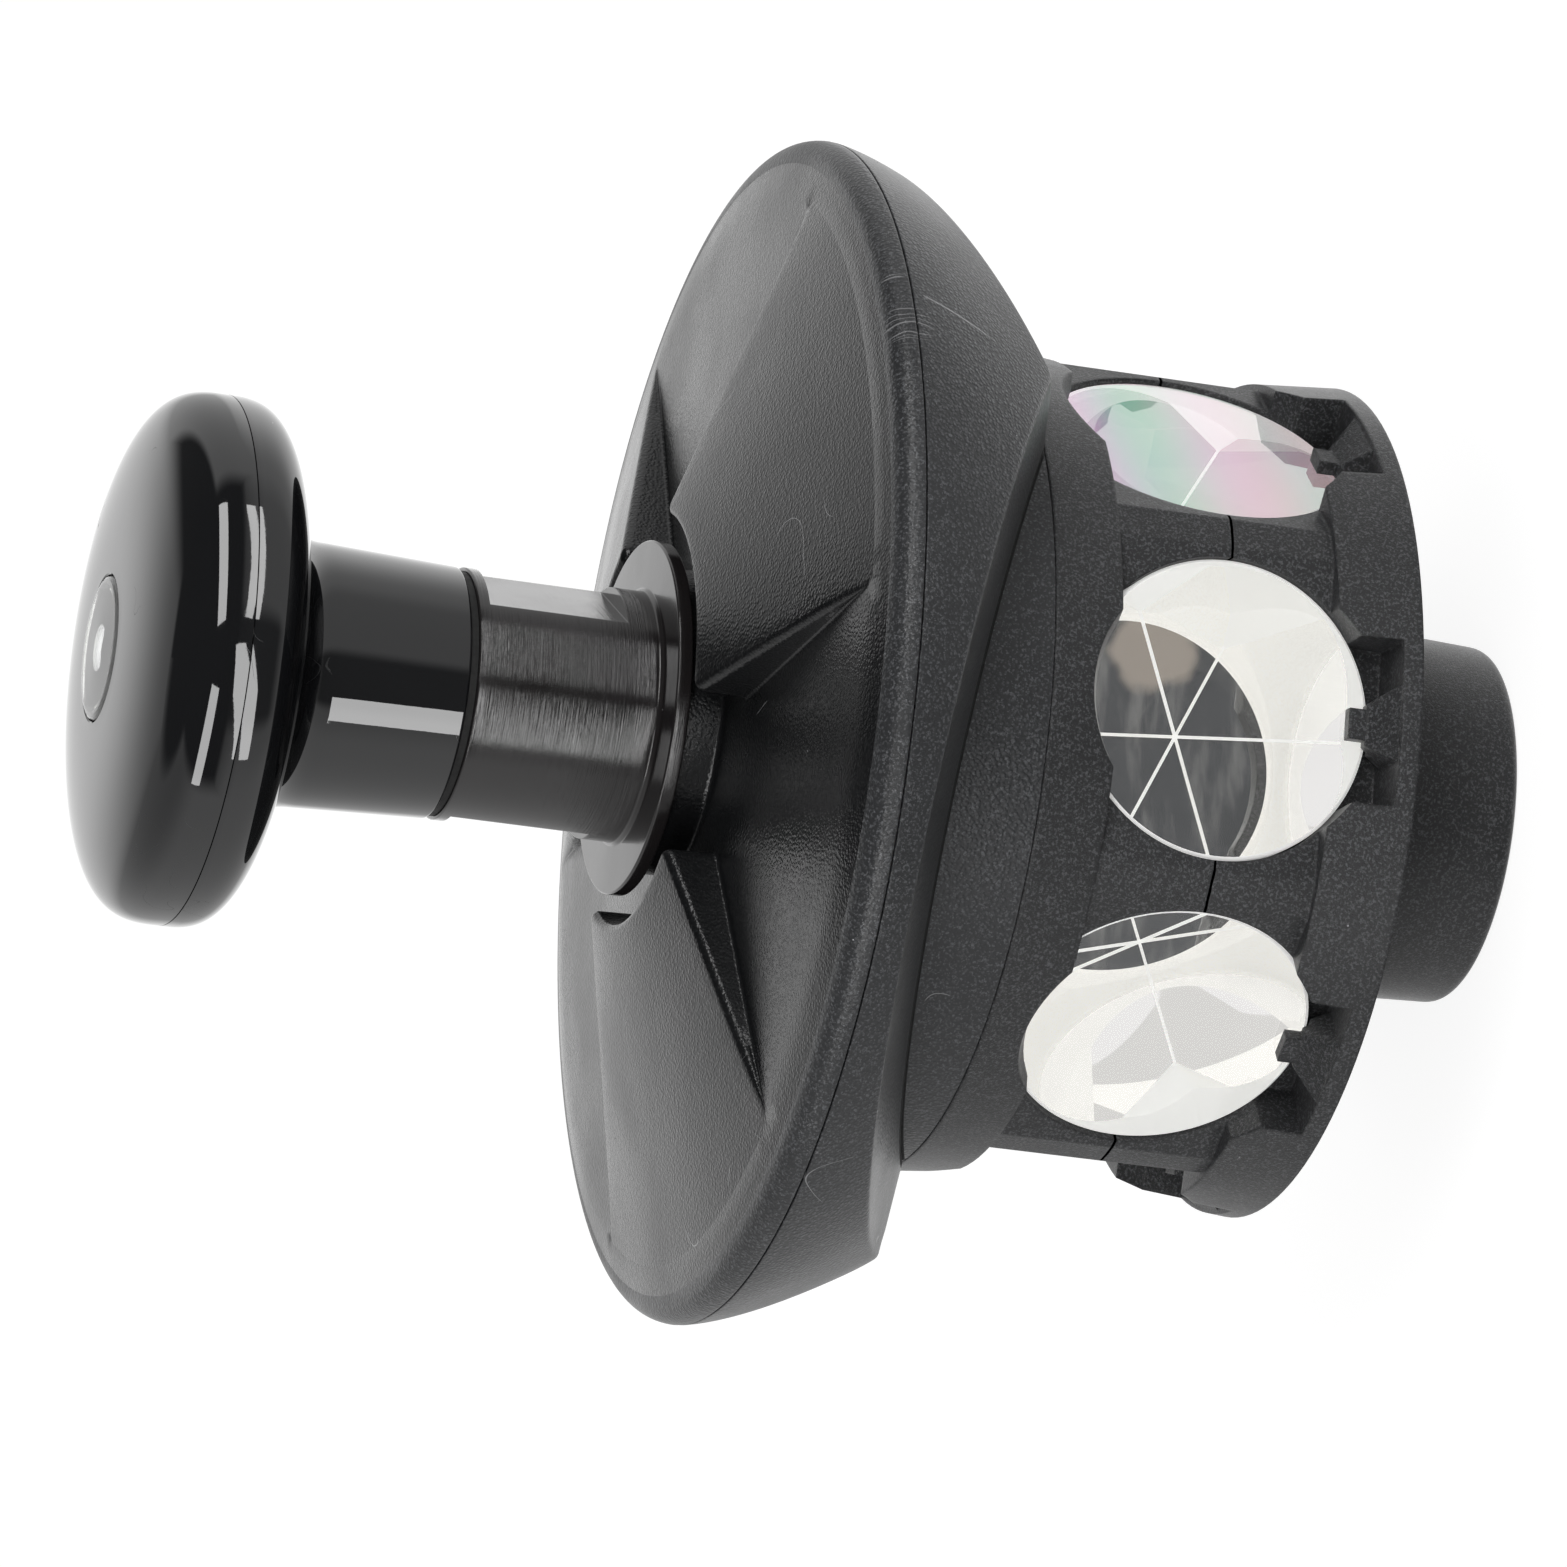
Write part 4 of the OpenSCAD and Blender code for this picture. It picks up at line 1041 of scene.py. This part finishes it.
# Azimuth, elevation, width, height and tilt in degrees, as the knob's centre sees them
SOFTBOXES = {
    "panel_right": (-31.9, 20.4, 53, 16, 0),
    "panel_left": (-109.1, 15.9, 43, 15, 1),
    "glow_right": (-31.2, -12.3, 50, 2.6, 0.5),
    "glow_left": (-92, -13.1, 48, 6.4, 9),
}
NECK_SOFTBOX = (-103.5, -21.5, 20, 10, 0)


def facing(centre, azimuth, elevation, roll, distance):
    """The matrix of a camera or lamp that faces a centre from a direction and distance."""
    back = direction(azimuth, elevation)
    right = Vector((0, 0, 1)).cross(back).normalized()
    level = Matrix((right, back.cross(right), back)).transposed()
    turn = level @ Matrix.Rotation(math.radians(roll), 3, "Z")
    return Matrix.Translation(centre + back * distance) @ turn.to_4x4()


def camera():
    data = bpy.data.cameras.new("camera")
    data.sensor_width = 36
    data.lens = VIEW_LENS
    data.clip_start = 0.05
    data.clip_end = 20
    obj = bpy.data.objects.new("camera", data)
    bpy.context.scene.collection.objects.link(obj)
    obj.matrix_world = facing(VIEW_AIM, VIEW_AZIMUTH, VIEW_ELEVATION, VIEW_ROLL, VIEW_DISTANCE)
    bpy.context.scene.camera = obj
    return obj


def softbox(name, centre, azimuth, elevation, width, height, tilt):
    """A rectangular lamp, hidden from the rays that the corner cubes send back."""
    data = bpy.data.lights.new(name, "AREA")
    data.shape = "RECTANGLE"
    data.size = 2 * LAMP_DISTANCE * math.tan(math.radians(width / 2))
    data.size_y = 2 * LAMP_DISTANCE * math.tan(math.radians(height / 2))
    data.energy = LAMP * math.pi * data.size * data.size_y
    obj = bpy.data.objects.new(name, data)
    bpy.context.scene.collection.objects.link(obj)
    obj.matrix_world = facing(centre, azimuth, elevation, tilt, LAMP_DISTANCE)
    obj.visible_transmission = False
    return obj


def studio_world():
    """White for the camera and through glass, plain grey light, and for gloss a white sweep
    in a dark room. side is the azimuth from the camera's in degrees, height a sine."""
    world = bpy.data.worlds.new("studio")
    bpy.context.scene.world = world
    world.use_nodes = True
    n = Nodes(world.node_tree)
    n.tree.nodes.clear()
    place = n.node("ShaderNodeTexCoord").outputs["Generated"]
    height = n.vector_math("DOT_PRODUCT", place, Vector((0, 0, 1)))
    side = n.math("ARCTAN2", n.vector_math("DOT_PRODUCT", place, direction(VIEW_AZIMUTH + 90, 0)),
                  n.vector_math("DOT_PRODUCT", place, direction(VIEW_AZIMUTH, 0)))
    side = n.math("MULTIPLY", side, 180 / math.pi)

    left = n.product(n.span(side, -60, -48, 1, 0), n.span(height, 0.86, 0.93, 1, 0),
                     n.span(height, 0.1, 0.8, 0.72, 0.38))
    right = n.product(n.span(side, 80, 92, 0, 0.74), n.span(height, 0.4, 0.52, 1, 0))
    back = n.most(n.span(side, -165, -135, 1, 0), n.span(side, 148, 168, 0, 1))
    back = n.product(back, n.span(height, 0.865, 0.9, 1, 0), n.span(height, 0.2, 0.9, 1.12, 0.5))
    # The photographer hides the part of the table that lies towards the camera
    hidden = n.product(n.span(side, -32, -20, 0, 1), n.span(side, 18, 30, 1, 0),
                       n.span(height, -0.9, -0.6, 0, 0.9))
    table = n.math("ADD", n.span(side, 75, 95, 0.55, 0.78), n.span(side, 95, 135, 0, 0.6))
    table = n.math("ADD", table, n.span(side, -60, -30, 0.2, 0))
    table = n.product(table, n.span(height, -0.24, -0.1, 1, 0), n.math("SUBTRACT", 1.0, hidden))
    gloss = n.math("ADD", n.most(n.most(left, right), n.most(back, table)), ROOM)

    ray = n.node("ShaderNodeLightPath").outputs
    seen = n.most(ray["Is Camera Ray"], ray["Is Transmission Ray"])
    plain = n.math("SUBTRACT", 1.0, n.most(seen, ray["Is Glossy Ray"]))
    glossy = n.product(ray["Is Glossy Ray"], n.math("SUBTRACT", 1.0, seen))
    lit = n.math("ADD", n.math("MULTIPLY", plain, PLAIN), n.product(glossy, gloss))
    shader = n.node("ShaderNodeBackground")
    shader.inputs["Color"].default_value = (1, 1, 1, 1)
    n.link(n.math("ADD", seen, lit), shader.inputs["Strength"])
    n.link(shader.outputs["Background"], n.node("ShaderNodeOutputWorld").inputs["Surface"])


def stage_mesh(name, verts, faces, mat):
    mesh = bpy.data.meshes.new(name)
    mesh.from_pydata(verts, [], faces)
    mesh.materials.append(mat)
    obj = bpy.data.objects.new(name, mesh)
    bpy.context.scene.collection.objects.link(obj)
    return obj


def floor():
    """A pale floor that shows white to the camera and through glass, and keeps a soft shadow."""
    reach, tone, white = 6.0, 0.3, 0.85
    mat = bpy.data.materials.new("floor")
    mat.use_nodes = True
    n = Nodes(mat.node_tree)
    n.tree.nodes.clear()
    ray = n.node("ShaderNodeLightPath").outputs
    seen = n.most(ray["Is Camera Ray"], ray["Is Transmission Ray"])
    matt_floor = n.node("ShaderNodeBsdfDiffuse")
    matt_floor.inputs["Color"].default_value = (tone, tone, tone, 1)
    glow = n.node("ShaderNodeEmission")
    n.link(n.math("MULTIPLY", seen, white), glow.inputs["Strength"])
    both = n.node("ShaderNodeAddShader")
    n.link(matt_floor.outputs[0], both.inputs[0])
    n.link(glow.outputs[0], both.inputs[1])
    n.link(both.outputs[0], n.node("ShaderNodeOutputMaterial").inputs["Surface"])
    corners = [(-reach, -reach, 0), (reach, -reach, 0), (reach, reach, 0), (-reach, reach, 0)]
    stage_mesh("floor", corners, [(0, 1, 2, 3)], mat).visible_glossy = False


def lens_disc(cam):
    """The dark front of the photographer's lens, which the corner cubes send back to the camera. It
    glows though it is no lamp: faint streaks and a brownish spot are painted light for the lens's
    reflections.
    """
    p = Paint("lens", Base_Color=(0, 0, 0, 1), Roughness=1.0, Specular_IOR_Level=0.0,
              Emission_Strength=1.0)
    painted_glow_spot = (0.004, -0.0145, 0)
    apart = p.vector_math("DISTANCE", p.place, painted_glow_spot)
    apart = p.math("ADD", apart, p.math("MULTIPLY", p.noise(9, 2), 8 * MM))
    painted_warm_glow = p.span(apart, 9 * MM, 12 * MM, 1, 0)
    streaks = p.span(p.noise(7, 3, 0.6, p.stretched((1.6, 0.35, 1))), 0.45, 0.75)
    tone = p.mix(streaks, (0.05, 0.053, 0.06), (0.16, 0.16, 0.165))
    p.paint("Emission Color", p.mix(painted_warm_glow, tone, (0.33, 0.29, 0.26)))
    behind, radius, sides = 2 * MM, 45 * MM, 64
    angles = [2 * math.pi * i / sides for i in range(sides)]
    verts = [(radius * math.cos(a), radius * math.sin(a), 0) for a in angles]
    obj = stage_mesh("lens", verts, [list(range(sides))], p.mat)
    obj.matrix_world = cam.matrix_world @ Matrix.Translation((0, 0, behind))
    obj.visible_camera = False
    obj.visible_diffuse = False
    obj.visible_glossy = False
    obj.visible_shadow = False


cam = camera()
studio_world()
floor()
lens_disc(cam)
for name, place in SOFTBOXES.items():
    softbox(name, KNOB_CENTRE, *place)
# The strip on the neck has its own place in the photo, so its lamp lights nothing else
lit_neck = bpy.data.collections.new("lit_neck")
lit_neck.objects.link(neck)
glow_neck = softbox("glow_neck", NECK_CENTRE, *NECK_SOFTBOX)
glow_neck.light_linking.receiver_collection = lit_neck

view = bpy.context.scene.view_settings
view.view_transform = "Standard"
